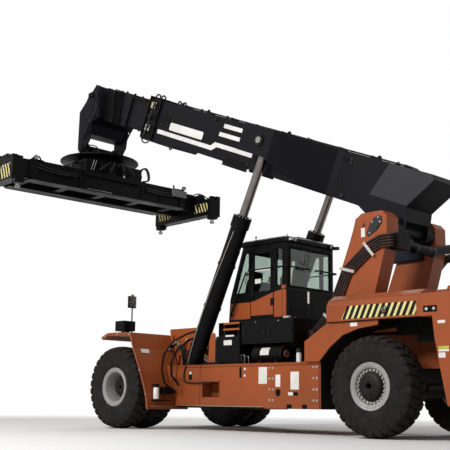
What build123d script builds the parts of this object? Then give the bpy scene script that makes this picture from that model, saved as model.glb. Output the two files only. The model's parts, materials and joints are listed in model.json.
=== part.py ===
from build123d import *
import math
import os

# A reach stacker: a four-wheeled container handler with a telescopic boom and a top-lift spreader.
# Millimetres, X forward, Y left, Z up, ground at Z = 0. Every piece is drawn with X = 0 at the front
# axle and both axles at AXLE_Z. save() moves it so that X = 0 is the middle of the whole machine and
# lifts it so that the tyres stand on the ground.

# ---- wheels and axles -------------------------------------------------------------------------
WHEELBASE = 6100.0
TYRE_OUTER_R = 835.0
TYRE_WIDTH = 480.0
RIM_SEAT_R = 318.0
RIM_FLANGE_R = 394.0
RIM_FLANGE_HALF = 205.0
RIM_WALL = 18.0
BEAD_GAP = 0.3
FRONT_OUTER_Y = 1830.0
FRONT_INNER_Y = 1270.0
REAR_WHEEL_Y = 1380.0
KINGPIN_Y = 1100.0
KINGPIN_R = 45.0
SPINDLE_R = 90.0
BEARING_GAP = 0.05
TURN_GAP = 6.0
AXLE_Z = 835.0
RIDE_LIFT = TYRE_OUTER_R - AXLE_Z
HUB_R = 215.0
BOLT_CIRCLE_R = 268.0

# ---- frame ------------------------------------------------------------------------------------
RAIL_IN_Y = 560.0
RAIL_OUT_Y = 900.0
RAIL_TOP = 1270.0
RAIL_BOTTOM = 560.0
RAIL_FRONT_X = 620.0
RAIL_REAR_X = -4950.0
AXLE_PAD_TOP = 1060.0
SIDE_Y = 1400.0
SIDE_PLATE = 55.0
SIDE_BOTTOM = 450.0
TANK_FRONT_X = -1900.0
STEP_X = (-2450.0, -1960.0)
STEP_Z = (650.0, 950.0)
STEP_DEPTH = 260.0
TAIL_IN_Y = 380.0
TAIL_OUT_Y = 480.0
TAIL_BOTTOM = 1150.0
TAIL_TOP = 1750.0
TAIL_X = -7250.0

# ---- rear body --------------------------------------------------------------------------------
BODY_Y = 1500.0
DECK_BOTTOM = 1930.0
DECK_TOP = 2390.0
DECK_FRONT_X = -5150.0
DECK_REAR_X = -7000.0
TOWER_IN_Y = 600.0
TOWER_OUT_Y = 950.0
COUNTER_REAR_X = -8100.0
COUNTER_BOTTOM = 540.0
COUNTER_TOP = 2290.0
TOW_REACH = 130.0
TOW_PIN_R = 22.0
TOW_Z = (700.0, 860.0)
TOW_PLATE = 30.0
TIE_R = 30.0
TIE_Y = (700.0, 740.0)
TIE_Z = 1280.0
TIE_REACH = 110.0
HOOD_TOP = 2450.0
HOOD_Y = 595.0

# ---- boom -------------------------------------------------------------------------------------
PIVOT_X = -5850.0
PIVOT_Z = 3620.0
BOOM_REST_DEG = 22.7
BOOM_Y = 420.0
BOOM_WALL = 20.0
BOOM_BOTTOM_W = 210.0
BOOM_TOP_W = 1130.0
BOOM_FRONT_U = 7900.0
COLLAR_U = 6750.0
COLLAR_STEP = 90.0
BOOM_PIN_R = 90.0
INNER_Y = 360.0
INNER_WALL = 16.0
INNER_BOTTOM_W = 300.0
INNER_TOP_W = 1050.0
INNER_REAR_U = 700.0
PAD_GAP = 1.0
TELESCOPE_TRAVEL = 6000.0

# ---- lift cylinders ---------------------------------------------------------------------------
CYL_Y = 1150.0
CYL_BASE_X = -1300.0
CYL_BASE_Z = 1050.0
CYL_TOP_X = -3440.0
CYL_TOP_Z = 5550.0
BARREL_R = 168.0
BARREL_START = 228.0
GLAND_STEP = 22.0
BARREL_BORE_R = 140.0
BARREL_LENGTH = 3450.0
ROD_R = 88.0
ROD_GAP = 0.1
ROD_EYE_R = 130.0
ROD_EYE_HALF = 95.0
CYL_PIN_R = 60.0
ROD_TAIL = 1400.0

# ---- head and spreader ------------------------------------------------------------------------
HEAD_X = 3550.0
HEAD_PIN_Z = 6950.0
HEAD_PIN_R = 70.0
HEAD_Y = 600.0
HEAD_PLATE = 40.0
REST_SLEW_DEG = -3.1
HOOD_R = 1000.0
RING_Z = 6560.0
SPREADER_TOP = 6180.0
SPREADER_BOTTOM = 5680.0
TUBE_X = (320.0, 620.0)
TUBE_WALL = 12.0
TUBE_HALF_LENGTH = 2350.0
LOCK_SPACING_X = 2259.0
LOCK_SPACING_Y = 5853.0
LOCK_PLANE_Z = 5380.0
END_BEAM_TOP = 5930.0
END_BEAM_BOTTOM = 5400.0
END_BEAM_Y = (2800.0, 3060.0)
END_BEAM_HALF_X = 1219.0
LOCK_R = 28.0
GUIDE_Y = 3130.0
SLIDE_GAP = 5.0
SIDE_SHIFT = 800.0
SPREADER_TRAVEL = 3067.0

# ---- cab --------------------------------------------------------------------------------------
CAB_Y = 720.0
CAB_WALL = 50.0
CAB_FLOOR = 2160.0
CAB_EAVES = 3640.0
CABINET_Y = 930.0
DOOR_X = (-3220.0, -2600.0)
DOOR_Z = (2230.0, 3560.0)
DOOR_GAP = 6.0
HINGE_R = 16.0
RAIL_TUBE_R = 16.0
HOSE_R = 22.0
FOOT_HOSE_R = 20.0
HOSE_PITCH = 50.0
SLEEVE_R = 85.0
EXHAUST_R = 65.0
SHELF_Y = (940.0, 1300.0)
AIR_TANK_R = 145.0

# the machine's extremes along X, from the sizes above
SPREADER_REACH = (END_BEAM_HALF_X * math.cos(math.radians(REST_SLEW_DEG))
                  + GUIDE_Y * math.sin(math.radians(abs(REST_SLEW_DEG))))
X_FRONT = HEAD_X + SPREADER_REACH
X_REAR = COUNTER_REAR_X - TOW_REACH
X_MIDDLE = (X_FRONT + X_REAR) / 2


# ---- shape helpers ----------------------------------------------------------------------------
def block(x, y, z):
    """A box between low and high values on each axis."""
    size = (x[1] - x[0], y[1] - y[0], z[1] - z[0])
    centre = ((x[0] + x[1]) / 2, (y[0] + y[1]) / 2, (z[0] + z[1]) / 2)
    return Pos(*centre) * Box(*size)


def side_plate(outline, y):
    """A flat outline of (x, z) corners, as thick as the two y values."""
    face = make_face(Polyline(*outline, close=True))
    return extrude(Plane(origin=(0, y[1], 0), x_dir=(1, 0, 0), z_dir=(0, -1, 0)) * face, y[1] - y[0])


def cross_plate(outline, x):
    """A flat outline of (y, z) corners, as thick as the two x values."""
    face = make_face(Polyline(*outline, close=True))
    return extrude(Plane(origin=(x[0], 0, 0), x_dir=(0, 1, 0), z_dir=(1, 0, 0)) * face, x[1] - x[0])


def flat_plate(outline, z):
    """A flat outline of (x, y) corners, as thick as the two z values."""
    face = make_face(Polyline(*outline, close=True))
    return extrude(Pos(0, 0, z[0]) * face, z[1] - z[0])


def bar_y(x, z, radius, y):
    """A round bar along Y."""
    return Pos(x, (y[0] + y[1]) / 2, z) * Rot(90, 0, 0) * Cylinder(radius, y[1] - y[0])


def bar_x(y, z, radius, x):
    """A round bar along X."""
    return Pos((x[0] + x[1]) / 2, y, z) * Rot(0, 90, 0) * Cylinder(radius, x[1] - x[0])


def bar_z(x, y, radius, z):
    """A round bar along Z."""
    return Pos(x, y, (z[0] + z[1]) / 2) * Cylinder(radius, z[1] - z[0])


def turned_y(outline):
    """A section of (y, radius) corners turned about the Y axis."""
    face = make_face(Polyline(*outline, close=True))
    return revolve(Plane.YZ * face, axis=Axis.Y)


def mirrored(shape):
    return mirror(shape, about=Plane.XZ)


def together(*shapes):
    """Pieces that stay separate solids in one node."""
    solids = []
    for shape in shapes:
        solids.extend(shape.solids())
    return Compound(children=solids)


def pipe(points, bend, radius):
    """A round pipe along a path of straight runs and one bend radius."""
    path = FilletPolyline(*points, radius=bend)
    return sweep(Plane(origin=path @ 0, z_dir=path % 0) * Circle(radius), path=path)


def beside(route, step):
    """The same (x, z) route moved sideways in its own plane."""
    moved = []
    for index, point in enumerate(route):
        before = route[max(index - 1, 0)]
        after = route[min(index + 1, len(route) - 1)]
        length = math.hypot(after[0] - before[0], after[1] - before[1])
        along = ((after[0] - before[0]) / length, (after[1] - before[1]) / length)
        moved.append((point[0] + along[1] * step, point[1] - along[0] * step))
    return moved


NODES = {}


def save(name, shape):
    NODES[name] = Pos(-X_MIDDLE, 0, RIDE_LIFT) * shape


# ---- wheels -----------------------------------------------------------------------------------
def tyre(y_middle):
    half = TYRE_WIDTH / 2
    bead = RIM_FLANGE_HALF - RIM_WALL - BEAD_GAP
    low = RIM_SEAT_R + BEAD_GAP
    flange = RIM_FLANGE_R + BEAD_GAP
    shoulder = (half - 22, TYRE_OUTER_R - 38)
    left = [(-bead, low), (-bead, flange)]
    right = [(bead, flange), (bead, low)]
    wall_left = ThreePointArc((-bead, flange), (-half, 600), (-shoulder[0], shoulder[1]))
    crown = ThreePointArc((-shoulder[0], shoulder[1]), (0, TYRE_OUTER_R), shoulder)
    wall_right = ThreePointArc(shoulder, (half, 600), (bead, flange))
    edges = [Line(*left), wall_left, crown, wall_right, Line(*right), Line(right[1], left[0])]
    section = make_face(edges)
    return Pos(0, y_middle, 0) * revolve(Plane.YZ * section, axis=Axis.Y)


def rim_band(y_middle):
    """A rim: seat band with a flange at each edge."""
    inside = RIM_SEAT_R - RIM_WALL
    edge = RIM_FLANGE_HALF
    lip = RIM_FLANGE_HALF - RIM_WALL
    outline = [(-edge, inside), (edge, inside), (edge, RIM_FLANGE_R), (lip, RIM_FLANGE_R),
               (lip, RIM_SEAT_R), (-lip, RIM_SEAT_R), (-lip, RIM_FLANGE_R), (-edge, RIM_FLANGE_R)]
    return Pos(0, y_middle, 0) * turned_y(outline)


def front_rims():
    inside = RIM_SEAT_R - RIM_WALL
    start = 1000 + TURN_GAP
    disc = FRONT_OUTER_Y - 170
    hub = [(start, SPINDLE_R + BEARING_GAP), (1310, SPINDLE_R + BEARING_GAP), (1310, 0.0),
           (1890, 0.0), (1890, 140), (1830, 190), (1700, HUB_R), (disc + 30, HUB_R),
           (disc + 30, inside), (disc, inside), (disc, 200), (start, 200)]
    spacer = [(FRONT_INNER_Y + RIM_FLANGE_HALF, inside), (FRONT_OUTER_Y - RIM_FLANGE_HALF, inside),
              (FRONT_OUTER_Y - RIM_FLANGE_HALF, RIM_SEAT_R), (FRONT_INNER_Y + RIM_FLANGE_HALF, RIM_SEAT_R)]
    return rim_band(FRONT_INNER_Y) + rim_band(FRONT_OUTER_Y) + turned_y(spacer) + turned_y(hub)


def rear_rim():
    inside = RIM_SEAT_R - RIM_WALL
    disc = REAR_WHEEL_Y + 110
    start = 1200 + TURN_GAP
    hub = [(start, SPINDLE_R + BEARING_GAP), (1420, SPINDLE_R + BEARING_GAP), (1420, 0.0),
           (1620, 0.0), (1620, 200), (1590, 245), (disc + 30, 250),
           (disc + 30, inside), (disc, inside), (disc, 180), (start, 180)]
    return rim_band(REAR_WHEEL_Y) + turned_y(hub)


FRONT_AT = Pos(0, 0, AXLE_Z)
REAR_AT = Pos(-WHEELBASE, 0, AXLE_Z)

front_tyres = FRONT_AT * together(tyre(FRONT_INNER_Y), tyre(FRONT_OUTER_Y))
save("front_tyres_left", front_tyres)
save("front_tyres_right", mirrored(front_tyres))
front_rim = FRONT_AT * front_rims()
save("front_rims_left", front_rim)
save("front_rims_right", mirrored(front_rim))
rear_tyre = REAR_AT * tyre(REAR_WHEEL_Y)
save("rear_tyre_left", rear_tyre)
save("rear_tyre_right", mirrored(rear_tyre))
rear_wheel_rim = REAR_AT * rear_rim()
save("rear_rim_left", rear_wheel_rim)
save("rear_rim_right", mirrored(rear_wheel_rim))

# ---- drive axle: a turned casing, spindles, and pads under the frame rails ---------------------
AXLE_END_Y = 1000.0
casing_half = [(0, 0), (0, 330), (300, 330), (450, 235), (700, 205), (AXLE_END_Y, 190),
               (AXLE_END_Y, SPINDLE_R), (1290, SPINDLE_R), (1290, 0)]
casing = turned_y(casing_half)
casing = casing + mirrored(casing)
nose = bar_x(0, 0, 170, (-470, -200))
casing = casing + nose
pad = block((-220, 220), (600, 860), (0, AXLE_PAD_TOP - AXLE_Z))
front_axle = FRONT_AT * (casing + pad + mirrored(pad))
save("front_axle", front_axle)

# ---- steering axle: a tapered beam with a fork at each end, and a knuckle in each fork ---------
FORK_R = 85.0
FORK_LOW = (AXLE_Z - 265, AXLE_Z - 190)
FORK_HIGH = (AXLE_Z + 190, AXLE_Z + 265)
beam_outline = [(-200, -640), (-200, 640), (-100, 950), (100, 950), (200, 640), (200, -640),
                (100, -950), (-100, -950)]
fork_outline = [(-100, 890), (-FORK_R, KINGPIN_Y), (FORK_R, KINGPIN_Y), (100, 890)]
beam = flat_plate(beam_outline, (AXLE_Z - 170, AXLE_Z + 170))
beam_end = block((-100, 100), (890, 950), (FORK_LOW[0], FORK_HIGH[1]))
fork = beam_end
for low, high in (FORK_LOW, FORK_HIGH):
    fork = fork + flat_plate(fork_outline, (low, high)) + bar_z(0, KINGPIN_Y, FORK_R, (low, high))
fork = fork + bar_z(0, KINGPIN_Y, KINGPIN_R, (FORK_LOW[0] - 20, FORK_HIGH[1] + 20))
axle_mount = block((-160, 160), (-TAIL_OUT_Y, TAIL_OUT_Y), (AXLE_Z + 170, TAIL_BOTTOM))
steer_axle = Pos(-WHEELBASE, 0, 0) * (beam + fork + mirrored(fork) + axle_mount)
save("steer_axle", steer_axle)
steer_ram = bar_y(-285, AXLE_Z, 80, (-420, 420)) + bar_y(-285, AXLE_Z, 40, (-600, 600))
steer_ram = steer_ram + block((-220, -200), (-120, 120), (AXLE_Z - 90, AXLE_Z + 90))
save("steer_cylinder", Pos(-WHEELBASE, 0, 0) * steer_ram)

barrel_z = (FORK_LOW[1] + TURN_GAP, FORK_HIGH[0] - TURN_GAP)
knuckle = bar_z(0, KINGPIN_Y, 72, barrel_z) - bar_z(0, KINGPIN_Y, KINGPIN_R + BEARING_GAP, (0, 2000))
boss = bar_y(0, AXLE_Z, 130, (KINGPIN_Y + 60, 1200)) + bar_y(0, AXLE_Z, SPINDLE_R, (1190, 1400))
knuckle = knuckle + boss - bar_z(0, KINGPIN_Y, KINGPIN_R + BEARING_GAP, (0, 2000))
knuckle = Pos(-WHEELBASE, 0, 0) * knuckle
save("knuckle_left", knuckle)
save("knuckle_right", mirrored(knuckle))

# ---- main frame -------------------------------------------------------------------------------
rail_outline = [(RAIL_FRONT_X, AXLE_PAD_TOP), (-480, AXLE_PAD_TOP), (-760, RAIL_BOTTOM),
                (RAIL_REAR_X, RAIL_BOTTOM), (RAIL_REAR_X, RAIL_TOP), (-1700, RAIL_TOP), (-1300, 1500),
                (RAIL_FRONT_X - 120, 1500), (RAIL_FRONT_X, 1380)]
rail = side_plate(rail_outline, (RAIL_IN_Y, RAIL_OUT_Y))
frame = rail + mirrored(rail)
# cross members between the rails: x from, x to, z from, z to
CROSS_MEMBERS = [
    (380, RAIL_FRONT_X, 1180, 1500),
    (-1500, -1300, 900, 1500),
    (-2500, -2380, 1000, RAIL_TOP),
    (-4050, -3930, 1000, RAIL_TOP),
]
for x_low, x_high, z_low, z_high in CROSS_MEMBERS:
    frame = frame + block((x_low, x_high), (-RAIL_IN_Y, RAIL_IN_Y), (z_low, z_high))
bulkhead = block((RAIL_REAR_X - 80, RAIL_REAR_X), (-RAIL_OUT_Y, RAIL_OUT_Y), (RAIL_BOTTOM + 240, RAIL_TOP))
tail = block((TAIL_X, RAIL_REAR_X - 80), (TAIL_IN_Y, TAIL_OUT_Y), (TAIL_BOTTOM, TAIL_TOP))
tail_riser = block((RAIL_REAR_X - 80, RAIL_REAR_X), (-TAIL_OUT_Y, TAIL_OUT_Y), (RAIL_TOP, TAIL_TOP))
frame = frame + bulkhead + tail_riser + tail + mirrored(tail)
lug_inner = side_plate([(CYL_BASE_X + 240, 820), (CYL_BASE_X + 150, CYL_BASE_Z + 150),
                        (CYL_BASE_X - 150, CYL_BASE_Z + 150), (CYL_BASE_X - 330, 820)],
                       (RAIL_OUT_Y, CYL_Y - ROD_EYE_HALF - SLIDE_GAP))
frame = frame + lug_inner + mirrored(lug_inner)
tie_lug = block((RAIL_FRONT_X - 5, RAIL_FRONT_X + TIE_REACH), TIE_Y, (TIE_Z - 70, TIE_Z + 70))
tie_lug = tie_lug - bar_y(RAIL_FRONT_X + TIE_REACH / 2, TIE_Z, TIE_R, (0, 2000))
save("main_frame", frame + tie_lug + mirrored(tie_lug))

# ---- side panels: a plate outside each cylinder foot, then a tank with a step recess -----------
side_outline = [(-1190 - RIDE_LIFT, SIDE_BOTTOM), (-890 - RIDE_LIFT, RAIL_TOP), (TANK_FRONT_X, RAIL_TOP),
                (TANK_FRONT_X, SIDE_BOTTOM)]
panel = side_plate(side_outline, (SIDE_Y - SIDE_PLATE, SIDE_Y))
lug_outer = side_plate([(CYL_BASE_X + 110, CYL_BASE_Z - 130), (CYL_BASE_X + 110, CYL_BASE_Z + 150),
                        (CYL_BASE_X - 150, CYL_BASE_Z + 150), (CYL_BASE_X - 150, CYL_BASE_Z - 130)],
                       (CYL_Y + ROD_EYE_HALF + SLIDE_GAP, SIDE_Y - SIDE_PLATE))
strip_y = (RAIL_OUT_Y, SIDE_Y - SIDE_PLATE)
floor_strip = block((TANK_FRONT_X, -1230), strip_y, (SIDE_BOTTOM + 110, SIDE_BOTTOM + 150))
panel = panel + lug_outer + floor_strip
lug_gap = (CYL_Y - ROD_EYE_HALF - SLIDE_GAP, CYL_Y + ROD_EYE_HALF + SLIDE_GAP)
cylinder_pin = bar_y(CYL_BASE_X, CYL_BASE_Z, CYL_PIN_R, lug_gap)
tank = block((RAIL_REAR_X + 20, TANK_FRONT_X), (RAIL_OUT_Y, SIDE_Y), (SIDE_BOTTOM, RAIL_TOP))
tank = tank - block(STEP_X, (SIDE_Y - STEP_DEPTH, SIDE_Y + 1), STEP_Z)
side = panel + cylinder_pin + tank
save("side_tanks", together(side, mirrored(side)))

# ---- gearbox, drive shaft and engine block between the rails -----------------------------------
gearbox = block((-3700, -2900), (-330, 330), (620, 1230))
gearbox_feet = block((-3450, -3150), (-RAIL_IN_Y, RAIL_IN_Y), (980, 1060))
save("gearbox", gearbox + gearbox_feet)
save("drive_shaft", bar_x(0, AXLE_Z, 55, (-2900, -470)))
save("engine", block((-6900, -5150), (-TAIL_IN_Y, TAIL_IN_Y), (1160, 2150)))

# ---- front fenders: a top plate and a sloping rear wall behind the twin wheels -----------------
FENDER_Y = (1000.0, 2080.0)
FENDER_WALL = 40.0
# the sloping wall stands clear of the tyre, so it moves back by as much as the tyre grows
FENDER_SLOPE = [(-520, 1930), (-640, 1600), (-870, 1160), (-1080, 670), (-1130, 400), (-1090, 400),
                (-1040, 680), (-832, 1170), (-604, 1610), (-494, 1890)]
fender_slope = [(x - RIDE_LIFT, z) for x, z in FENDER_SLOPE]
fender_outline = [(420, 1850), (250, 1930)] + fender_slope + [(250, 1890), (400, 1810)]
fender = side_plate(fender_outline, FENDER_Y)
fender_rib = side_plate([(-490, 1890), (-604, 1600), (-1250, 1600), (-1300, 2060), (-470, 2060)], (905, 955))
fender_rib = fender_rib + block((-620, -500), (905, 1002), (1640, 1920))
fender_foot = block((-1240, -700), (700, 950), (1500, 1700))
fender = fender + fender_rib + fender_foot
save("front_fenders", together(fender, mirrored(fender)))

# ---- rear deck, towers, hood and counterweight -------------------------------------------------
tower_outline = [(-5400, 3800), (-5520, 3880), (-5960, 3880), (-6050, 3780), (-6050, 3350), (-5780, 2450),
                 (-6250, 2150), (-6300, 1760), (RAIL_REAR_X - 90, 1760), (RAIL_REAR_X, RAIL_TOP),
                 (-4150, RAIL_TOP), (-4850, 2380), (-5330, 3560)]
tower = side_plate(tower_outline, (TOWER_IN_Y, TOWER_OUT_Y))
boom_pin = bar_y(PIVOT_X, PIVOT_Z, BOOM_PIN_R, (-TOWER_OUT_Y, TOWER_OUT_Y))
save("boom_towers", tower + mirrored(tower) + boom_pin)

deck_section = [(TOWER_OUT_Y, DECK_BOTTOM), (BODY_Y, DECK_BOTTOM), (BODY_Y, 2200), (1440, 2300),
                (1280, DECK_TOP), (TOWER_OUT_Y, DECK_TOP)]
deck = cross_plate(deck_section, (DECK_REAR_X, DECK_FRONT_X))
cheek_outline = [(RAIL_REAR_X, RAIL_TOP), (-4620, RAIL_TOP), (-4620, 1620), (DECK_FRONT_X, DECK_BOTTOM),
                 (-6200, DECK_BOTTOM), (-6190, 1840), (-5800, 1800), (-5460, 1700), (-5180, 1500)]
cheek = side_plate(cheek_outline, (TOWER_OUT_Y, BODY_Y - 40))
deck = deck + cheek
save("rear_decks", together(deck, mirrored(deck)))

hood_outline = [(-6320, 1760), (-6320, HOOD_TOP - 80), (-6400, HOOD_TOP), (-7170, HOOD_TOP),
                (-7250, HOOD_TOP - 80), (-7250, 1760)]
hood = side_plate(hood_outline, (-HOOD_Y, HOOD_Y))
hood_skirt = block((-7250, -6320), (HOOD_Y, TOWER_OUT_Y), (1760, 2250))
hood = hood + hood_skirt + mirrored(hood_skirt) - block((-6920, -6300), (-400, 400), (1700, 2200))
save("engine_hood", hood)

counter_outline = [(TAIL_X, DECK_BOTTOM), (-7280, 1600), (-7390, 1000), (-7480, COUNTER_BOTTOM),
                   (-7950, COUNTER_BOTTOM), (COUNTER_REAR_X, 720), (COUNTER_REAR_X, 2120),
                   (-8000, COUNTER_TOP), (TAIL_X, COUNTER_TOP)]
counter = side_plate(counter_outline, (-BODY_Y, BODY_Y))
corner_cut = [(COUNTER_REAR_X - 10, 1100), (COUNTER_REAR_X - 10, BODY_Y + 10), (-7700, BODY_Y + 10)]
corner = flat_plate(corner_cut, (0, 3000))
counter = counter - corner - mirrored(corner)
wing = block((TAIL_X, DECK_REAR_X), (TOWER_OUT_Y, BODY_Y), (DECK_BOTTOM, COUNTER_TOP))
counter = counter + wing + mirrored(wing)
tow_x = COUNTER_REAR_X - TOW_REACH / 2
for low in (TOW_Z[0], TOW_Z[1] - TOW_PLATE):
    counter = counter + block((X_REAR, COUNTER_REAR_X + 10), (-90, 90), (low, low + TOW_PLATE))
counter = counter - bar_z(tow_x, 0, TOW_PIN_R, (TOW_Z[0] - 10, TOW_Z[1] + 10))
save("counterweight", counter)

# ---- cab --------------------------------------------------------------------------------------
cabinet = block((-4080, -1920), (-CABINET_Y, CABINET_Y), (RAIL_TOP + 20, 2120))
cabinet_feet = block((-4000, -2000), (RAIL_IN_Y, RAIL_OUT_Y), (RAIL_TOP, RAIL_TOP + 20))
side_box = block((-4220, -2920), (CABINET_Y - 1, SHELF_Y[1]), (1640, 2085))
cabinet = cabinet + cabinet_feet + mirrored(cabinet_feet) + side_box + mirrored(side_box)
save("cab_cabinet", cabinet)

cab_outer = [(-3550, CAB_FLOOR), (-3550, CAB_EAVES), (-2380, CAB_EAVES), (-2030, 2600), (-2000, CAB_FLOOR)]
cab_inner = [(-3550 + CAB_WALL, CAB_FLOOR), (-3550 + CAB_WALL, CAB_EAVES), (-2380 - CAB_WALL, CAB_EAVES),
             (-2030 - CAB_WALL, 2600), (-2000 - CAB_WALL, CAB_FLOOR)]
shell = side_plate(cab_outer, (-CAB_Y, CAB_Y))
shell = shell - side_plate(cab_inner, (-CAB_Y + CAB_WALL, CAB_Y - CAB_WALL))
front_window = [(-CAB_Y + 90, 2480), (CAB_Y - 90, 2480), (CAB_Y - 90, 3540), (-CAB_Y + 90, 3540)]
shell = shell - cross_plate(front_window, (-2500, -1900))
shell = shell - cross_plate([(-620, 2780), (620, 2780), (620, 3540), (-620, 3540)], (-3600, -3480))
quarter = [(-2560, 2700), (-2560, 3540), (-2440, 3540), (-2150, 2700)]
shell = shell - side_plate(quarter, (-CAB_Y - 10, CAB_Y + 10))
rear_quarter = [(-3460, 2780), (-3460, 3540), (-3280, 3540), (-3280, 2780)]
shell = shell - side_plate(rear_quarter, (-CAB_Y - 10, CAB_Y + 10))
right_window = [(-3220, 2700), (-3220, 3540), (-2620, 3540), (-2620, 2700)]
shell = shell - side_plate(right_window, (-CAB_Y - 10, 0))
shell = shell - block(DOOR_X, (0, CAB_Y + 10), DOOR_Z)
cab_floor = block((-3550, -2000), (-CAB_Y, CAB_Y), (2120, CAB_FLOOR))
save("cab_shell", shell + cab_floor)
roof_section = [(-760, CAB_EAVES), (760, CAB_EAVES), (760, 3700), (500, 3760), (-500, 3760), (-760, 3700)]
save("cab_roof", cross_plate(roof_section, (-3610, -2300)))

door_x = (DOOR_X[0] + DOOR_GAP, DOOR_X[1] - DOOR_GAP)
door = block(door_x, (CAB_Y - CAB_WALL, CAB_Y), (DOOR_Z[0] + DOOR_GAP, DOOR_Z[1] - DOOR_GAP))
door = door - block((DOOR_X[0] + 70, DOOR_X[1] - 70), (0, CAB_Y + 10), (2700, 3490))
door_rail = bar_x(CAB_Y + 62, 3150, RAIL_TUBE_R, (DOOR_X[0] + 60, DOOR_X[1] - 20))
for x_foot in (DOOR_X[0] + 40, DOOR_X[1] - 40):
    door_rail = door_rail + block((x_foot - 16, x_foot + 16), (CAB_Y - 5, CAB_Y + 70), (3134, 3166))
door = door + door_rail
hinge_y = CAB_Y + HINGE_R
for z_low in (2420, 3250):
    hinge_z = (z_low, z_low + 140)
    door = door + bar_z(DOOR_X[0], hinge_y, HINGE_R - 1, hinge_z)
    door = door + block((DOOR_X[0], DOOR_X[0] + 70), (hinge_y - 6, hinge_y + 6), hinge_z)
    door = door + block((DOOR_X[0] + 30, DOOR_X[0] + 70), (CAB_Y - 5, hinge_y), hinge_z)
save("cab_door", door)
GLASS = 8.0
door_glass = block((DOOR_X[0] + 70, DOOR_X[1] - 70), (CAB_Y - 30, CAB_Y - 30 + GLASS), (2700, 3490))
save("door_glass", door_glass)
save("cab_glass", together(
    block((-3530, -3530 + GLASS), (-620, 620), (2780, 3540)),
    side_plate(quarter, (CAB_Y - 30, CAB_Y - 30 + GLASS)),
    side_plate(quarter, (-CAB_Y + 22, -CAB_Y + 30)),
    side_plate(rear_quarter, (CAB_Y - 30, CAB_Y - 30 + GLASS)),
    side_plate(rear_quarter, (-CAB_Y + 22, -CAB_Y + 30)),
    side_plate(right_window, (-CAB_Y + 22, -CAB_Y + 30)),
    side_plate([(-2075, 2600), (-2083, 2600), (-2378, 3540), (-2370, 3540)], (-CAB_Y + 90, CAB_Y - 90))))

# ---- boxes on the shelf beside the cabinet ----------------------------------------------------
BATTERY_TOP = 1815.0
# treads above each battery box, below the door: z of each
STEP_LEVELS = (1925.0, 2040.0)
battery = block((-2880, -2230), SHELF_Y, (RAIL_TOP, BATTERY_TOP))
for x_post in (-2840, -2460):
    post_z = (BATTERY_TOP, STEP_LEVELS[1] + 30)
    battery = battery + block((x_post - 20, x_post + 20), (SHELF_Y[0] + 40, SHELF_Y[1]), post_z)
for level in STEP_LEVELS:
    battery = battery + block((-2860, -2440), (SHELF_Y[0] + 40, SHELF_Y[1]), (level, level + 30))
save("battery_boxes", together(battery, mirrored(battery)))
air_tank = bar_x(1120, RAIL_TOP + AIR_TANK_R + 30, AIR_TANK_R, (-3900, -3150))
for x_saddle in (-3740, -3310):
    air_tank = air_tank + block((x_saddle - 30, x_saddle + 30), (1020, 1220), (RAIL_TOP, RAIL_TOP + 120))
save("air_tanks", together(air_tank, mirrored(air_tank)))

# ---- rails beside the cab ----------------------------------------------------------------------
RAIL_Y = CAB_Y + 62


def standoff(x, z):
    return bar_y(x, z, RAIL_TUBE_R, (CAB_Y, RAIL_Y))


grab_line = Line((-2090, RAIL_Y, 2250), (-2530, RAIL_Y, 3120))
grab = sweep(Plane(origin=grab_line @ 0, z_dir=grab_line % 0) * Circle(RAIL_TUBE_R), path=grab_line)
grab = grab + standoff(-2110, 2290) + standoff(-2510, 3080)
wrap = pipe([(DOOR_X[0] - 140, RAIL_Y, 3150), (-3612, RAIL_Y, 3150), (-3612, 100, 3150)], 60, RAIL_TUBE_R)
wrap = wrap + standoff(DOOR_X[0] - 160, 3150) + bar_x(140, 3150, RAIL_TUBE_R, (-3612, -3550))
right_wrap = pipe([(-2640, -RAIL_Y, 3150), (-3612, -RAIL_Y, 3150), (-3612, -100, 3150)], 60, RAIL_TUBE_R)
right_wrap = right_wrap + mirrored(standoff(-2660, 3150)) + bar_x(-140, 3150, RAIL_TUBE_R, (-3612, -3550))
save("cab_rails", together(grab, mirrored(grab), wrap, right_wrap))

seat = block((-3250, -2750), (-260, 260), (2480, 2620)) + block((-3330, -3200), (-250, 250), (2560, 3300))
seat = seat + block((-3150, -2850), (-180, 180), (CAB_FLOOR, 2480))
save("seat", seat)
column = bar_z(-2420, 0, 50, (CAB_FLOOR, 2780)) + bar_z(-2420, 0, 190, (2780, 2810))
console = block((-3150, -2600), (-480, -330), (CAB_FLOOR, 2750))
save("cab_controls", together(column, console))

# ---- fender mirrors and lamps ------------------------------------------------------------------
mirror_post = bar_z(-80, 1690, 14, (1930, 2520))
mirror_head = block((-110, -50), (1610, 1790), (2480, 2730))
lamp_foot = block((20, 180), (1660, 1760), (1930, 2000))
lamp_box = block((-40, 260), (1560, 1860), (2000, 2210))
left_set = together(mirror_post + mirror_head, lamp_foot + lamp_box)
save("fender_mirrors", together(left_set, mirrored(left_set)))

# ---- exhaust on the right deck -----------------------------------------------------------------
EXHAUST_Y = -1070.0
exhaust_route = [(-5560, 2400), (-5600, 2760), (-5740, 3040), (-5960, 3250), (-6240, 3290)]
exhaust = pipe([(x, EXHAUST_Y, z) for x, z in exhaust_route], 160, EXHAUST_R)
exhaust = exhaust + bar_z(-5558, EXHAUST_Y, EXHAUST_R + 35, (DECK_TOP, 2450))
save("exhaust", exhaust)

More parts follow.
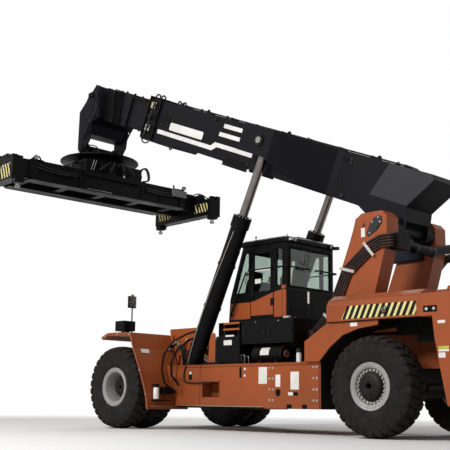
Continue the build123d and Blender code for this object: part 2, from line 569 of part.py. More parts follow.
# ---- hoses up the left tower -------------------------------------------------------------------
TOWER_HOSES = 5
SLEEVE_X = -6160.0
MANIFOLD_Y = (560.0, TOWER_OUT_Y - 80)
HOSE_Y = TOWER_OUT_Y + HOSE_R + 4
HOSE_ROUTE = [(-4480, 1790), (-4830, 2090), (-5200, 2860), (-5740, 3260), (-5920, 3330), (SLEEVE_X, 3330)]
hoses = []
for index in range(TOWER_HOSES):
    offset = (index - (TOWER_HOSES - 1) / 2) * HOSE_PITCH
    flat = beside(HOSE_ROUTE, -offset)
    start = [(-4080, 890, 1740 + offset), (-4245, 890, 1740 + offset), (-4355, HOSE_Y, 1755 + offset)]
    middle = [(x, HOSE_Y, z) for x, z in flat]
    finish = [(SLEEVE_X, MANIFOLD_Y[1], flat[-1][1])]
    hoses.append(pipe(start + middle + finish, 45, HOSE_R))
save("tower_hoses", together(*hoses))
sleeve_route = [(SLEEVE_X, MANIFOLD_Y[0], 3330), (SLEEVE_X, 280, 3270), (SLEEVE_X, -280, 3270),
                (SLEEVE_X, -560, 3330), (SLEEVE_X, -880, 3400)]
sleeve = pipe(sleeve_route, 400, SLEEVE_R)
manifold = block((SLEEVE_X - 100, SLEEVE_X + 110), MANIFOLD_Y, (3190, 3470))
sleeve = sleeve + manifold
save("hose_sleeve", sleeve)

# ---- boom -------------------------------------------------------------------------------------
BOOM_AT = Pos(PIVOT_X, 0, PIVOT_Z) * Rot(0, -BOOM_REST_DEG, 0)
collar_w = BOOM_BOTTOM_W - COLLAR_STEP
outer_outline = [(-500, 1050), (-420, BOOM_TOP_W), (BOOM_FRONT_U, BOOM_TOP_W), (BOOM_FRONT_U, collar_w),
                 (COLLAR_U, collar_w), (COLLAR_U - 100, BOOM_BOTTOM_W), (950, BOOM_BOTTOM_W),
                 (820, 150), (190, -110), (90, -190), (-90, -190), (-200, -60), (-90, 447)]
outer = side_plate(outer_outline, (-BOOM_Y, BOOM_Y))
bore_w = (BOOM_BOTTOM_W + BOOM_WALL, BOOM_TOP_W - BOOM_WALL)
bore = block((250, BOOM_FRONT_U + 10), (-BOOM_Y + BOOM_WALL, BOOM_Y - BOOM_WALL), bore_w)
foot_gap = block((-800, 830), (-BOOM_Y + 60, BOOM_Y - 60), (-400, BOOM_BOTTOM_W))
outer = outer - bore - foot_gap - bar_y(0, 0, BOOM_PIN_R + BEARING_GAP, (-1000, 1000))
foot_boss = bar_y(0, 0, 190, (BOOM_Y, TOWER_IN_Y - SLIDE_GAP))
foot_boss = foot_boss - bar_y(0, 0, BOOM_PIN_R + BEARING_GAP, (-1000, 1000))
outer = outer + foot_boss + mirrored(foot_boss)

CYL_TOP_U = ((CYL_TOP_X - PIVOT_X) * math.cos(math.radians(BOOM_REST_DEG))
             + (CYL_TOP_Z - PIVOT_Z) * math.sin(math.radians(BOOM_REST_DEG)))
CYL_TOP_W = (-(CYL_TOP_X - PIVOT_X) * math.sin(math.radians(BOOM_REST_DEG))
             + (CYL_TOP_Z - PIVOT_Z) * math.cos(math.radians(BOOM_REST_DEG)))
POCKET_HALF = BARREL_R + GLAND_STEP + 12
POCKET_IN_Y = CYL_Y - POCKET_HALF
POCKET_OUT_Y = CYL_Y + POCKET_HALF
EAR = 45.0
bracket_plan = [(3950, BOOM_Y), (3500, POCKET_IN_Y), (3500, POCKET_OUT_Y + EAR), (2650, POCKET_OUT_Y + EAR),
                (1750, BOOM_Y + 60), (1600, BOOM_Y)]
bracket = flat_plate(bracket_plan, (250, 1115))
pocket = block((2700, 4500), (POCKET_IN_Y, POCKET_OUT_Y), (0, 1300))
lower_cut = side_plate([(2000, 200), (4500, 200), (4500, 560), (2750, 560)], (POCKET_IN_Y - 10, 2000))
bracket = bracket - pocket - lower_cut
ear_boss = bar_y(CYL_TOP_U, CYL_TOP_W, 120, (POCKET_OUT_Y + EAR, POCKET_OUT_Y + EAR + 30))
bracket = bracket + ear_boss
save("lift_brackets", BOOM_AT * together(bracket, mirrored(bracket)))

inner = block((INNER_REAR_U, 9150), (-INNER_Y, INNER_Y), (INNER_BOTTOM_W, INNER_TOP_W))
inner = inner - block((INNER_REAR_U - 10, 9160), (-INNER_Y + INNER_WALL, INNER_Y - INNER_WALL),
                      (INNER_BOTTOM_W + INNER_WALL, INNER_TOP_W - INNER_WALL))
# bearing pads: two rings of four blocks, one fixed in the outer boom's mouth, one at the inner boom's tail
mouth_u = (BOOM_FRONT_U - 320, BOOM_FRONT_U - 20)
floor_pads = block(mouth_u, (-250, 250), (BOOM_BOTTOM_W + BOOM_WALL, INNER_BOTTOM_W - PAD_GAP))
roof_pads = block(mouth_u, (-250, 250), (INNER_TOP_W + PAD_GAP, BOOM_TOP_W - BOOM_WALL))
wall_pad = block(mouth_u, (INNER_Y + PAD_GAP, BOOM_Y - BOOM_WALL), (500, 850))
save("outer_boom", BOOM_AT * (outer + floor_pads + roof_pads + wall_pad + mirrored(wall_pad)))
tail_u = (INNER_REAR_U + 20, INNER_REAR_U + 320)
tail_low = block(tail_u, (-250, 250), (BOOM_BOTTOM_W + BOOM_WALL + PAD_GAP, INNER_BOTTOM_W))
tail_high = block(tail_u, (-250, 250), (INNER_TOP_W, BOOM_TOP_W - BOOM_WALL - PAD_GAP))
save("inner_boom", BOOM_AT * (inner + tail_low + tail_high))

# ---- boom head: drawn level, as it stands at rest ----------------------------------------------
HEAD_AT = Pos(HEAD_X, 0, 0)
head_profile = [(-560, 8480), (130, 7890), (150, 6930), (110, 6840), (60, 6810), (-60, 6810), (-140, 6860),
                (-330, 7080), (-400, 7500), (-700, 7600), (-700, 8420)]
head_side = side_plate(head_profile, (HEAD_Y - HEAD_PLATE, HEAD_Y))
box_profile = [(-560, 8470), (110, 7890), (120, 7260), (-250, 7260), (-385, 7490), (-700, 7600),
               (-700, 8410)]
head_box = side_plate(box_profile, (-HEAD_Y + HEAD_PLATE - 1, HEAD_Y - HEAD_PLATE + 1))
head_pin = bar_y(0, HEAD_PIN_Z, HEAD_PIN_R, (-HEAD_Y, HEAD_Y))
neck = BOOM_AT * block((8650, 9700), (-INNER_Y - 60, INNER_Y + 60), (INNER_BOTTOM_W - 30, INNER_TOP_W + 20))
neck_hole = BOOM_AT * block((8000, 9150), (-INNER_Y, INNER_Y), (INNER_BOTTOM_W, INNER_TOP_W))
head = HEAD_AT * (head_side + mirrored(head_side) + head_box + head_pin) + neck - neck_hole
save("boom_head", head)

# ---- lift cylinders ---------------------------------------------------------------------------
CYL_LENGTH = math.hypot(CYL_TOP_X - CYL_BASE_X, CYL_TOP_Z - CYL_BASE_Z)
CYL_TILT_DEG = math.degrees(math.atan2(CYL_TOP_X - CYL_BASE_X, CYL_TOP_Z - CYL_BASE_Z))
CYL_AT = Pos(CYL_BASE_X, CYL_Y, CYL_BASE_Z) * Rot(0, CYL_TILT_DEG, 0)
eye_half = (-ROD_EYE_HALF, ROD_EYE_HALF)
barrel = bar_z(0, 0, BARREL_R, (BARREL_START, BARREL_LENGTH)) + bar_y(0, 0, 150, eye_half)
barrel = barrel + block((-110, 110), eye_half, (0, BARREL_START + 10))
barrel = barrel + bar_z(0, 0, BARREL_R + GLAND_STEP, (BARREL_LENGTH - 190, BARREL_LENGTH))
barrel = barrel - bar_z(0, 0, BARREL_BORE_R, (BARREL_START + 40, BARREL_LENGTH - 160))
barrel = barrel - bar_z(0, 0, ROD_R + ROD_GAP, (1000, BARREL_LENGTH + 10))
barrel = barrel - bar_y(0, 0, CYL_PIN_R + BEARING_GAP, (-500, 500))
barrel_left = CYL_AT * barrel
# hoses from the barrel's side to just short of the side panel: x, y, z of each turn
FOOT_HOSES = [
    [(-1585, 1230, 1960), (-1440, 1380, 1890), (-1240, 1560, 1740), (-1120, 1680, 1480), (-1090, 1700, 1180),
     (-1130, 1650, 900), (-1230, SIDE_Y + 30, 740)],
    [(-1525, 1230, 1830), (-1450, 1370, 1740), (-1300, 1500, 1570), (-1220, 1570, 1320), (-1220, 1560, 1080),
     (-1300, SIDE_Y + 30, 880)],
]
for route in FOOT_HOSES:
    barrel_left = barrel_left + pipe(route, 150, FOOT_HOSE_R)
save("cylinder_barrel_left", barrel_left)
save("cylinder_barrel_right", mirrored(barrel_left))
rod = bar_z(0, 0, ROD_R, (ROD_TAIL, CYL_LENGTH - 60)) + bar_y(0, CYL_LENGTH, ROD_EYE_R, eye_half)
rod_left = CYL_AT * rod
save("cylinder_rod_left", rod_left)
save("cylinder_rod_right", mirrored(rod_left))

# ---- hanger, rotator and spreader -------------------------------------------------------------
SPREADER_AT = Pos(HEAD_X, 0, 0) * Rot(0, 0, REST_SLEW_DEG)
ear_outline = [(-130, 6740), (-130, HEAD_PIN_Z + 60), (-60, HEAD_PIN_Z + 120), (60, HEAD_PIN_Z + 120),
               (130, HEAD_PIN_Z + 60), (130, 6740)]
EAR_Y = (440.0, HEAD_Y - HEAD_PLATE - SLIDE_GAP)
hanger_ear = side_plate(ear_outline, EAR_Y) - bar_y(0, HEAD_PIN_Z, HEAD_PIN_R + BEARING_GAP, (0, 2000))
disc_points = [(0, RING_Z + 60), (HOOD_R, RING_Z + 60), (HOOD_R, RING_Z + 90), (540, 6750), (430, 6750),
               (400, 6860), (0, 6880)]
hood_disc = revolve(Plane.XZ * make_face(Polyline(*disc_points, close=True)), axis=Axis.Z)
hanger = hood_disc + hanger_ear + mirrored(hanger_ear)
hanger = Pos(HEAD_X, 0, 0) * hanger
hanger_ring = Pos(HEAD_X, 0, 0) * bar_z(0, 0, 560, (RING_Z, RING_Z + 60))
save("head_hanger", hanger + hanger_ring)

rotator = bar_z(0, 0, 640, (RING_Z - 90, RING_Z - SLIDE_GAP))
rotator = rotator + block((-700, 700), (-850, 850), (6300, RING_Z - 90))
rotator = rotator + block((-700, 700), (-850, 850), (SPREADER_TOP + SLIDE_GAP, 6300))
hook_out = block((TUBE_X[1] + SLIDE_GAP, 700), (-850, 850), (6050, SPREADER_TOP + SLIDE_GAP))
hook_in = block((-700, -TUBE_X[1] - SLIDE_GAP), (-850, 850), (6050, SPREADER_TOP + SLIDE_GAP))
rotator = rotator + hook_out + hook_in
save("rotator", SPREADER_AT * rotator)

tube_z = (SPREADER_BOTTOM, SPREADER_TOP)
spreader_frame = None
for side in (-1, 1):
    x_low, x_high = sorted((side * TUBE_X[0], side * TUBE_X[1]))
    tube = block((x_low, x_high), (-TUBE_HALF_LENGTH, TUBE_HALF_LENGTH), tube_z)
    hollow_z = (tube_z[0] + TUBE_WALL, tube_z[1] - TUBE_WALL)
    tube = tube - block((x_low + TUBE_WALL, x_high - TUBE_WALL), (-3000, 3000), hollow_z)
    spreader_frame = tube if spreader_frame is None else spreader_frame + tube
for y_middle in (-2200, -1100, 0, 1100, 2200):
    tie_z = (SPREADER_BOTTOM + 40, SPREADER_TOP - 40)
    tie = block((-TUBE_X[0], TUBE_X[0]), (y_middle - 90, y_middle + 90), tie_z)
    spreader_frame = spreader_frame + tie
save("spreader_frame", SPREADER_AT * spreader_frame)

ARM_WIDTH = 126.0
ARM_INNER_END = -2000.0
arm_z = (SPREADER_BOTTOM + TUBE_WALL + SLIDE_GAP, SPREADER_TOP - TUBE_WALL - SLIDE_GAP)


def spreader_arm(lane):
    """One telescopic end frame on the +Y side; lane 0 is each tube's outer half, lane 1 its inner half."""
    shape = None
    for side in (-1, 1):
        outer_face = TUBE_X[1] - TUBE_WALL - SLIDE_GAP
        inner_face = TUBE_X[0] + TUBE_WALL + SLIDE_GAP
        span = (outer_face - ARM_WIDTH, outer_face) if lane == 0 else (inner_face, inner_face + ARM_WIDTH)
        x_low, x_high = sorted((side * span[0], side * span[1]))
        beam_piece = block((x_low, x_high), (ARM_INNER_END, END_BEAM_Y[0]), arm_z)
        shape = beam_piece if shape is None else shape + beam_piece
    end = block((-END_BEAM_HALF_X, END_BEAM_HALF_X), END_BEAM_Y, (END_BEAM_BOTTOM + 110, END_BEAM_TOP))
    strip_y = END_BEAM_Y[1] - 60
    shape = shape + end + block((-700, 700), (END_BEAM_Y[0], strip_y), (END_BEAM_TOP, SPREADER_TOP - 60))
    strip_x = (-END_BEAM_HALF_X, END_BEAM_HALF_X)
    shape = shape + block(strip_x, (strip_y, END_BEAM_Y[1]), (END_BEAM_TOP, END_BEAM_TOP + 100))
    shape = shape + corner_guide(1) + corner_guide(-1)
    for side in (-1, 1):
        x_lock = side * LOCK_SPACING_X / 2
        y_lock = LOCK_SPACING_Y / 2
        housing_z = (END_BEAM_BOTTOM, END_BEAM_BOTTOM + 110)
        shape = shape + block((x_lock - 89, x_lock + 89), (y_lock - 100, y_lock + 90), housing_z)
        shape = shape - bar_z(x_lock, y_lock, LOCK_R + 1, (5000, END_BEAM_TOP - 60))
        shape = shape - bar_z(x_lock, y_lock, 60, (END_BEAM_BOTTOM + 300, END_BEAM_BOTTOM + 345))
    return shape


def corner_guide(x_side):
    """A folded flipper guide standing at the end beam's outer face."""
    x_low, x_high = sorted((x_side * (END_BEAM_HALF_X - 110), x_side * END_BEAM_HALF_X))
    arm = block((x_low, x_high), (END_BEAM_Y[1] - 60, GUIDE_Y), (END_BEAM_TOP, 6040))
    return arm + block((x_low, x_high), (GUIDE_Y - 60, GUIDE_Y), (5480, 6040))


def twistlock(x_lock, y_lock):
    shaft = bar_z(x_lock, y_lock, LOCK_R, (LOCK_PLANE_Z - 30, END_BEAM_BOTTOM + 400))
    collar = bar_z(x_lock, y_lock, 55, (END_BEAM_BOTTOM + 305, END_BEAM_BOTTOM + 340))
    head_z = (LOCK_PLANE_Z - 95, LOCK_PLANE_Z - 30)
    head_block = block((x_lock - 30, x_lock + 30), (y_lock - 52, y_lock + 52), head_z)
    return shaft + collar + head_block


arm_left = spreader_arm(0)
arm_right = mirrored(spreader_arm(1))
save("spreader_arm_left", SPREADER_AT * arm_left)
save("spreader_arm_right", SPREADER_AT * arm_right)
for side_name, y_side in (("left", 1), ("right", -1)):
    for end_name, x_side in (("front", 1), ("rear", -1)):
        lock = twistlock(x_side * LOCK_SPACING_X / 2, y_side * LOCK_SPACING_Y / 2)
        save("twistlock_" + end_name + "_" + side_name, SPREADER_AT * lock)

os.makedirs("parts", exist_ok=True)
for name, shape in NODES.items():
    export_step(shape, "parts/" + name + ".step")
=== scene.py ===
"""The looks of a reach stacker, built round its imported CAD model.

Each operator below makes one piece, or one group of like pieces. Shapes are drawn in millimetres in a
local frame (front axle, boom, boom head, spreader or lift cylinder) and moved to metres at the end.
"""
import json
import math
import sys

import bmesh
import bpy
from mathutils import Matrix, Vector
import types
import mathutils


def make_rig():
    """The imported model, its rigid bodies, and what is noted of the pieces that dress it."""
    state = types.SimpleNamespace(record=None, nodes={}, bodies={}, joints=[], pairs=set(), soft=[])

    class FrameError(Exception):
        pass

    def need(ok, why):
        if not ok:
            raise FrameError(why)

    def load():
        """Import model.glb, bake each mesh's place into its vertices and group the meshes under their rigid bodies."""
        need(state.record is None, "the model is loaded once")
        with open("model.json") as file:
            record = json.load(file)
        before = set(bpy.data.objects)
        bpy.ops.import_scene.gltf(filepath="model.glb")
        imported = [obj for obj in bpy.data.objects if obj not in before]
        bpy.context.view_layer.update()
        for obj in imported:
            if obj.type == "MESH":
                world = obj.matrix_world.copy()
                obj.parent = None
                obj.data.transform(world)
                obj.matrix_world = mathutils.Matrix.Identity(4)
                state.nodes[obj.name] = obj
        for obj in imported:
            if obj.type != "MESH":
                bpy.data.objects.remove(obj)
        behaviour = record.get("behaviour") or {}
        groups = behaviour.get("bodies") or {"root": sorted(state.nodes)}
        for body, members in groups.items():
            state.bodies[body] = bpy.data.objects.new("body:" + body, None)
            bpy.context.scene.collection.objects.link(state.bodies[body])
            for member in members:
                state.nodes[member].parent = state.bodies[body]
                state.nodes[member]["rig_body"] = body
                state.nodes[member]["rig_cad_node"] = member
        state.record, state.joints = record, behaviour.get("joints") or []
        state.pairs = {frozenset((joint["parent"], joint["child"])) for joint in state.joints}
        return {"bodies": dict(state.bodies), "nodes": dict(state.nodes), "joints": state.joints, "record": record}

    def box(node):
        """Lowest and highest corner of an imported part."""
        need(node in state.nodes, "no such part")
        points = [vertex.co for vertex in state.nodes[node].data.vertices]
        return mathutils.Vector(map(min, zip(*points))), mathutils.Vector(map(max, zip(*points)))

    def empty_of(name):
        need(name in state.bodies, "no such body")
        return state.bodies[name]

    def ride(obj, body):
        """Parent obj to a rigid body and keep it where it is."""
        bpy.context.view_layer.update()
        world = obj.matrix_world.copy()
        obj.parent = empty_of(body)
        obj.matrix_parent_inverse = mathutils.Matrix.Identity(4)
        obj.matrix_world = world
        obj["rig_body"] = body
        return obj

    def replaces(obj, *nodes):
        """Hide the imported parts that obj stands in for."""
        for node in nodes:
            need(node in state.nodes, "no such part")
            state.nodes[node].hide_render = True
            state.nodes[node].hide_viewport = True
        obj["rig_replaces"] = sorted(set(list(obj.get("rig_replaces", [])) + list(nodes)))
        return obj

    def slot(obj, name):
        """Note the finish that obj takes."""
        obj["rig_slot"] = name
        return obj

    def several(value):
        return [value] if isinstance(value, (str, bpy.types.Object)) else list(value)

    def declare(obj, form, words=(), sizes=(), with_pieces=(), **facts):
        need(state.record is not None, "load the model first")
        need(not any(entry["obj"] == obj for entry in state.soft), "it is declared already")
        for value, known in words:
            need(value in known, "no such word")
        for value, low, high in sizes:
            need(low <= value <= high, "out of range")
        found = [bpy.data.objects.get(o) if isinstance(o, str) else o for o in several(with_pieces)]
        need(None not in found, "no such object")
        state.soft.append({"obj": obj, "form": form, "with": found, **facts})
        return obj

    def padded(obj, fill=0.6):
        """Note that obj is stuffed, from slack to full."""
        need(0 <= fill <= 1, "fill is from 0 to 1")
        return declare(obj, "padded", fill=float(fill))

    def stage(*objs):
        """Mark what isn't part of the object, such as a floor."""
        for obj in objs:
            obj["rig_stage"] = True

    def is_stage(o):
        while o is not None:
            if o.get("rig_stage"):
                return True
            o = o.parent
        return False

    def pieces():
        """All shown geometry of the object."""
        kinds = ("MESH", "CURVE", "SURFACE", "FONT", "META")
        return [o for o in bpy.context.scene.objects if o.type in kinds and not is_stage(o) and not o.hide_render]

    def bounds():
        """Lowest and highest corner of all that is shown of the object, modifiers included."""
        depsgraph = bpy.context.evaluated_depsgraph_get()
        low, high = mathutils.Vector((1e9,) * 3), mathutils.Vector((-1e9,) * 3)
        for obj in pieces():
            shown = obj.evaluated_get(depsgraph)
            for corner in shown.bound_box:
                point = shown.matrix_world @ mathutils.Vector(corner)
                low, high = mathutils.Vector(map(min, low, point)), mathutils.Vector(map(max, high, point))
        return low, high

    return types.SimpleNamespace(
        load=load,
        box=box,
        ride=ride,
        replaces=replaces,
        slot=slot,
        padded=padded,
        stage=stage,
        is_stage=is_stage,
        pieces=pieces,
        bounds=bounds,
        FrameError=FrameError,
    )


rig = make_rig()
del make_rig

bl_info = {
    "name": "Reach stacker",
    "version": (1, 0, 0),
    "blender": (4, 5, 0),
    "location": "View3D > Sidebar > Stacker",
    "description": "Builds the visible pieces of a reach stacker on its CAD frame",
    "category": "Add Mesh",
}

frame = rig.load()
CAD_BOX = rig.bounds()
NODES = frame["nodes"]

# ---- places ----
RIM_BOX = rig.box("front_rims_left")
AXLE_X = (RIM_BOX[0].x + RIM_BOX[1].x) / 2
AXLE_Z = (RIM_BOX[0].z + RIM_BOX[1].z) / 2 * 1000
WHEELBASE = 6100
PIVOT = (-5850, 0, 3620)
BOOM_PITCH = 22.7
HEAD_X = 3550
REST_SLEW = -3.1
CYLINDER_FOOT = (-1300, 1150, 1050)
CYLINDER_TOP = (-3440, 1150, 5550)
CYLINDER_LENGTH = math.dist(CYLINDER_FOOT, CYLINDER_TOP)
CYLINDER_TILT = math.atan2(CYLINDER_TOP[0] - CYLINDER_FOOT[0], CYLINDER_TOP[2] - CYLINDER_FOOT[2])

MACHINE = Matrix.Translation((AXLE_X, 0, 0)) @ Matrix.Scale(0.001, 4)
BOOM = MACHINE @ Matrix.Translation(PIVOT) @ Matrix.Rotation(math.radians(-BOOM_PITCH), 4, "Y")
HEAD = MACHINE @ Matrix.Translation((HEAD_X, 0, 0))
SPREADER = HEAD @ Matrix.Rotation(math.radians(REST_SLEW), 4, "Z")
CYLINDER = MACHINE @ Matrix.Translation(CYLINDER_FOOT) @ Matrix.Rotation(CYLINDER_TILT, 4, "Y")
OTHER_SIDE = Matrix.Diagonal((1, -1, 1, 1))
# the frame that a body's pieces are drawn in, where it isn't the machine's
FRAMES = {"boom": BOOM, "inner_boom": BOOM, "hanger": HEAD, "rotator": SPREADER, "spreader": SPREADER,
    "arm_left": SPREADER, "arm_right": SPREADER}
# ways to face: forwards, out to the left, up
X, Y, Z = (1, 0, 0), (0, 1, 0), (0, 0, 1)
SIDES = ("left", "right")


# ---- shapes ----
def circle(radius, sides, phase=0.0):
    """Corners of a regular polygon."""
    turn = 2 * math.pi / sides
    return [(radius * math.cos(i * turn + phase), radius * math.sin(i * turn + phase))
        for i in range(sides)]


def across(axis):
    """Two unit vectors square to an axis."""
    axis = Vector(axis).normalized()
    side = axis.cross(Vector((0, 0, 1)) if abs(axis.z) < 0.9 else Vector((1, 0, 0))).normalized()
    return side, axis.cross(side)


class Shape:
    """Gathers the faces of one piece, in millimetres, in the frame that it is drawn in."""

    def __init__(self):
        self.mesh = bmesh.new()

    def skin(self, rings, closed=False):
        """Joins rings of equally many points, and closes both ends unless the last ring meets the first."""
        rows = [[self.mesh.verts.new(point) for point in ring] for ring in rings]
        count = len(rows[0])
        pairs = list(zip(rows, rows[1:])) + ([(rows[-1], rows[0])] if closed else [])
        for a, b in pairs:
            for i in range(count):
                self.mesh.faces.new((a[i - 1], a[i], b[i], b[i - 1]))
        if not closed:
            self.mesh.faces.new(rows[0][::-1])
            self.mesh.faces.new(rows[-1])
        return self

    def block(self, x, y, z):
        """A box from its two limits along each axis."""
        return self.skin([[(at, y[0], z[0]), (at, y[1], z[0]), (at, y[1], z[1]), (at, y[0], z[1])]
            for at in x])

    def plate(self, outline, span, axis="y"):
        """A flat outline with thickness: (y, z) corners along x, (x, z) along y or (x, y) along z."""
        where = "xyz".index(axis)
        return self.skin([[(*corner[:where], at, *corner[where:]) for corner in outline] for at in span])

    def bar(self, start, end, radius, sides, end_radius=None):
        """A bar from start to end, round or with few sides, tapered if an end radius is given."""
        start, end = Vector(start), Vector(end)
        u, v = across(end - start)
        ends = ((start, radius), (end, radius if end_radius is None else end_radius))
        return self.skin([[at + u * a + v * b for a, b in circle(r, sides)] for at, r in ends])

    def turned(self, profile, centre, axis, sides, closed=False):
        """A profile of (along, radius) turned about an axis through a centre."""
        centre, axis = Vector(centre), Vector(axis).normalized()
        u, v = across(axis)
        rings = [[centre + axis * along + u * a + v * b for a, b in circle(max(radius, 0.4), sides)]
            for along, radius in profile]
        return self.skin(rings, closed)

    def hose(self, points, radius, steps=6, order=3):
        """A round tube along a smooth line held by its control points."""
        curve = bpy.data.curves.new("line", "CURVE")
        curve.dimensions = "3D"
        spline = curve.splines.new("NURBS")
        spline.points.add(len(points) - 1)
        for knot, point in zip(spline.points, points):
            knot.co = (*point, 1)
        spline.order_u = min(order, len(points))
        spline.use_endpoint_u = True
        curve.resolution_u = steps
        curve.bevel_depth = radius
        curve.bevel_resolution = 2
        curve.use_fill_caps = True
        holder = bpy.data.objects.new("line", curve)
        mesh = bpy.data.meshes.new_from_object(holder)
        self.mesh.from_mesh(mesh)
        bpy.data.objects.remove(holder)
        bpy.data.curves.remove(curve)
        bpy.data.meshes.remove(mesh)
        return self

    def mirror(self):
        """Adds the same faces on the other side of the machine."""
        copied = bmesh.ops.duplicate(self.mesh, geom=self.mesh.faces[:])["geom"]
        verts = [item for item in copied if isinstance(item, bmesh.types.BMVert)]
        faces = [item for item in copied if isinstance(item, bmesh.types.BMFace)]
        for vert in verts:
            vert.co.y = -vert.co.y
        bmesh.ops.reverse_faces(self.mesh, faces=faces)
        return self


def outward(name, shape, at=Matrix.Identity(4)):
    """The mesh of a shape with its faces pointing outwards."""
    work = shape.mesh.copy()
    work.transform(at)
    bmesh.ops.recalc_face_normals(work, faces=work.faces)
    mesh = bpy.data.meshes.new(name)
    work.to_mesh(mesh)
    work.free()
    return mesh


def smoothed(mesh):
    """Round parts smooth, and edges past 32 degrees sharp."""
    mesh.shade_smooth()
    mesh.set_sharp_from_angle(angle=math.radians(32))
    return mesh


def shaped(name, shape, finish, at, flipped=False):
    """The mesh of a shape in metres, in its place on the machine or mirrored to the other side."""
    mesh = outward(name, shape, (OTHER_SIDE if flipped else Matrix.Identity(4)) @ at)
    mesh.materials.append(FINISHES[finish])
    return smoothed(mesh)


def link(item):
    """Puts an object in the scene."""
    bpy.context.scene.collection.objects.link(item)


def placed(name, mesh, body, bevel=0.0):
    """Puts a mesh in the scene as a piece on a body, its edges rounded by bevel millimetres."""
    piece = bpy.data.objects.new(name, mesh)
    link(piece)
    if bevel:
        rounding = piece.modifiers.new("rounded edges", "BEVEL")
        rounding.width = bevel / 1000
        rounding.segments = 2
        rounding.limit_method = "ANGLE"
        rounding.angle_limit = math.radians(40)
        rounding.harden_normals = True
    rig.ride(piece, body)
    return piece


def make(name, shape, finish, body="chassis", bevel=0.0, at=None):
    """A shape as a finished piece on its body, drawn in the body's frame unless another is given."""
    return placed(name, shaped(name, shape, finish, at or FRAMES.get(body, MACHINE)), body, bevel)


def make_pair(name, shape, finish, at, bodies, bevel=0.0, own=False):
    """The same piece on each side, mirrored across the machine or across its own frame."""
    for side, body in zip(SIDES, bodies):
        right = side == "right"
        place = at @ OTHER_SIDE if own and right else at
        mesh = shaped(f"{name}_{side}", shape, finish, place, right and not own)
        placed(f"{name}_{side}", mesh, body, bevel)


# ---- node trees ----
def add(tree, kind, sockets, **settings):
    """Adds a node (a shader or math node unless its kind says otherwise), with its settings and sockets.

    Sockets go by name or place, and are filled from values, nodes or outputs."""
    made = tree.nodes.new(kind if "Node" in kind else "ShaderNode" + kind)
    for name, value in settings.items():
        setattr(made, name, value)
    for name, value in sockets.items():
        named = (s for s in made.inputs if s.enabled and s.name == name)
        socket = made.inputs[name] if isinstance(name, int) else next(named)
        if isinstance(value, bpy.types.Node):
            value = next(s for s in value.outputs if s.enabled)
        if isinstance(value, bpy.types.NodeSocket):
            tree.links.new(value, socket)
        else:
            socket.default_value = value
    return made


def geometry_tree(name, inputs):
    """An empty geometry node tree with its named inputs, and its input node."""
    tree = bpy.data.node_groups.new(name, "GeometryNodeTree")
    tree.interface.new_socket("Geometry", in_out="OUTPUT", socket_type="NodeSocketGeometry")
    for label, kind in {"Geometry": "Geometry", "Material": "Material", **inputs}.items():
        tree.interface.new_socket(label, in_out="INPUT", socket_type="NodeSocket" + kind)
    return tree, add(tree, "NodeGroupInput", {})


def end_tree(tree, given, instances):
    """Makes the copies real and gives them the tree's material."""
    real = add(tree, "GeometryNodeRealizeInstances", {"Geometry": instances})
    coloured = add(tree, "GeometryNodeSetMaterial", {"Geometry": real,
        "Material": given.outputs["Material"]})
    add(tree, "NodeGroupOutput", {"Geometry": coloured})
    return tree


def ring_tree():
    """Repeats a shape round the Y axis."""
    tree, given = geometry_tree("ring of copies", {"Count": "Int"})
    points = add(tree, "GeometryNodeMeshLine", {"Count": given.outputs["Count"], "Offset": (0, 0, 0)})
    step = add(tree, "Math", {0: 2 * math.pi, 1: given.outputs["Count"]}, operation="DIVIDE")
    index = add(tree, "GeometryNodeInputIndex", {})
    angle = add(tree, "Math", {0: index, 1: step}, operation="MULTIPLY")
    turn = add(tree, "CombineXYZ", {"Y": angle})
    copies = add(tree, "GeometryNodeInstanceOnPoints", {"Points": points,
        "Instance": given.outputs["Geometry"], "Rotation": turn})
    return end_tree(tree, given, copies)


def row_tree():
    """Repeats a shape along a straight line."""
    tree, given = geometry_tree("row of copies", {"Count": "Int", "Step": "Vector"})
    points = add(tree, "GeometryNodeMeshLine", {"Count": given.outputs["Count"],
        "Offset": given.outputs["Step"]})
    copies = add(tree, "GeometryNodeInstanceOnPoints", {"Points": points,
        "Instance": given.outputs["Geometry"]})
    return end_tree(tree, given, copies)


def bolt_tree():
    """Puts a hexagon head on a washer at every vertex, standing along the vertex's facing."""
    tree, given = geometry_tree("bolts", {"Width": "Float", "Height": "Float"})
    wide, high = given.outputs["Width"], given.outputs["Height"]
    # shares of the width across flats: corners of the head, its chamfered top, and the washer
    corners, top, brim = (add(tree, "Math", {0: wide, 1: share}, operation="MULTIPLY")
        for share in (0.577, 0.53, 0.85))
    thin = add(tree, "Math", {0: high, 1: 0.25}, operation="MULTIPLY")
    head = add(tree, "GeometryNodeMeshCone", {"Vertices": 6, "Depth": high, "Radius Bottom": corners,
        "Radius Top": top})
    washer = add(tree, "GeometryNodeMeshCylinder", {"Vertices": 14, "Radius": brim, "Depth": thin})
    both = add(tree, "GeometryNodeJoinGeometry", {"Geometry": head.outputs["Mesh"]})
    tree.links.new(washer.outputs["Mesh"], both.inputs["Geometry"])
    facing = add(tree, "GeometryNodeInputNamedAttribute", {"Name": "facing"}, data_type="FLOAT_VECTOR")
    turn = add(tree, "FunctionNodeAlignRotationToVector", {"Vector": facing}, axis="Z")
    copies = add(tree, "GeometryNodeInstanceOnPoints", {"Points": given.outputs["Geometry"],
        "Instance": both, "Rotation": turn})
    return end_tree(tree, given, copies)


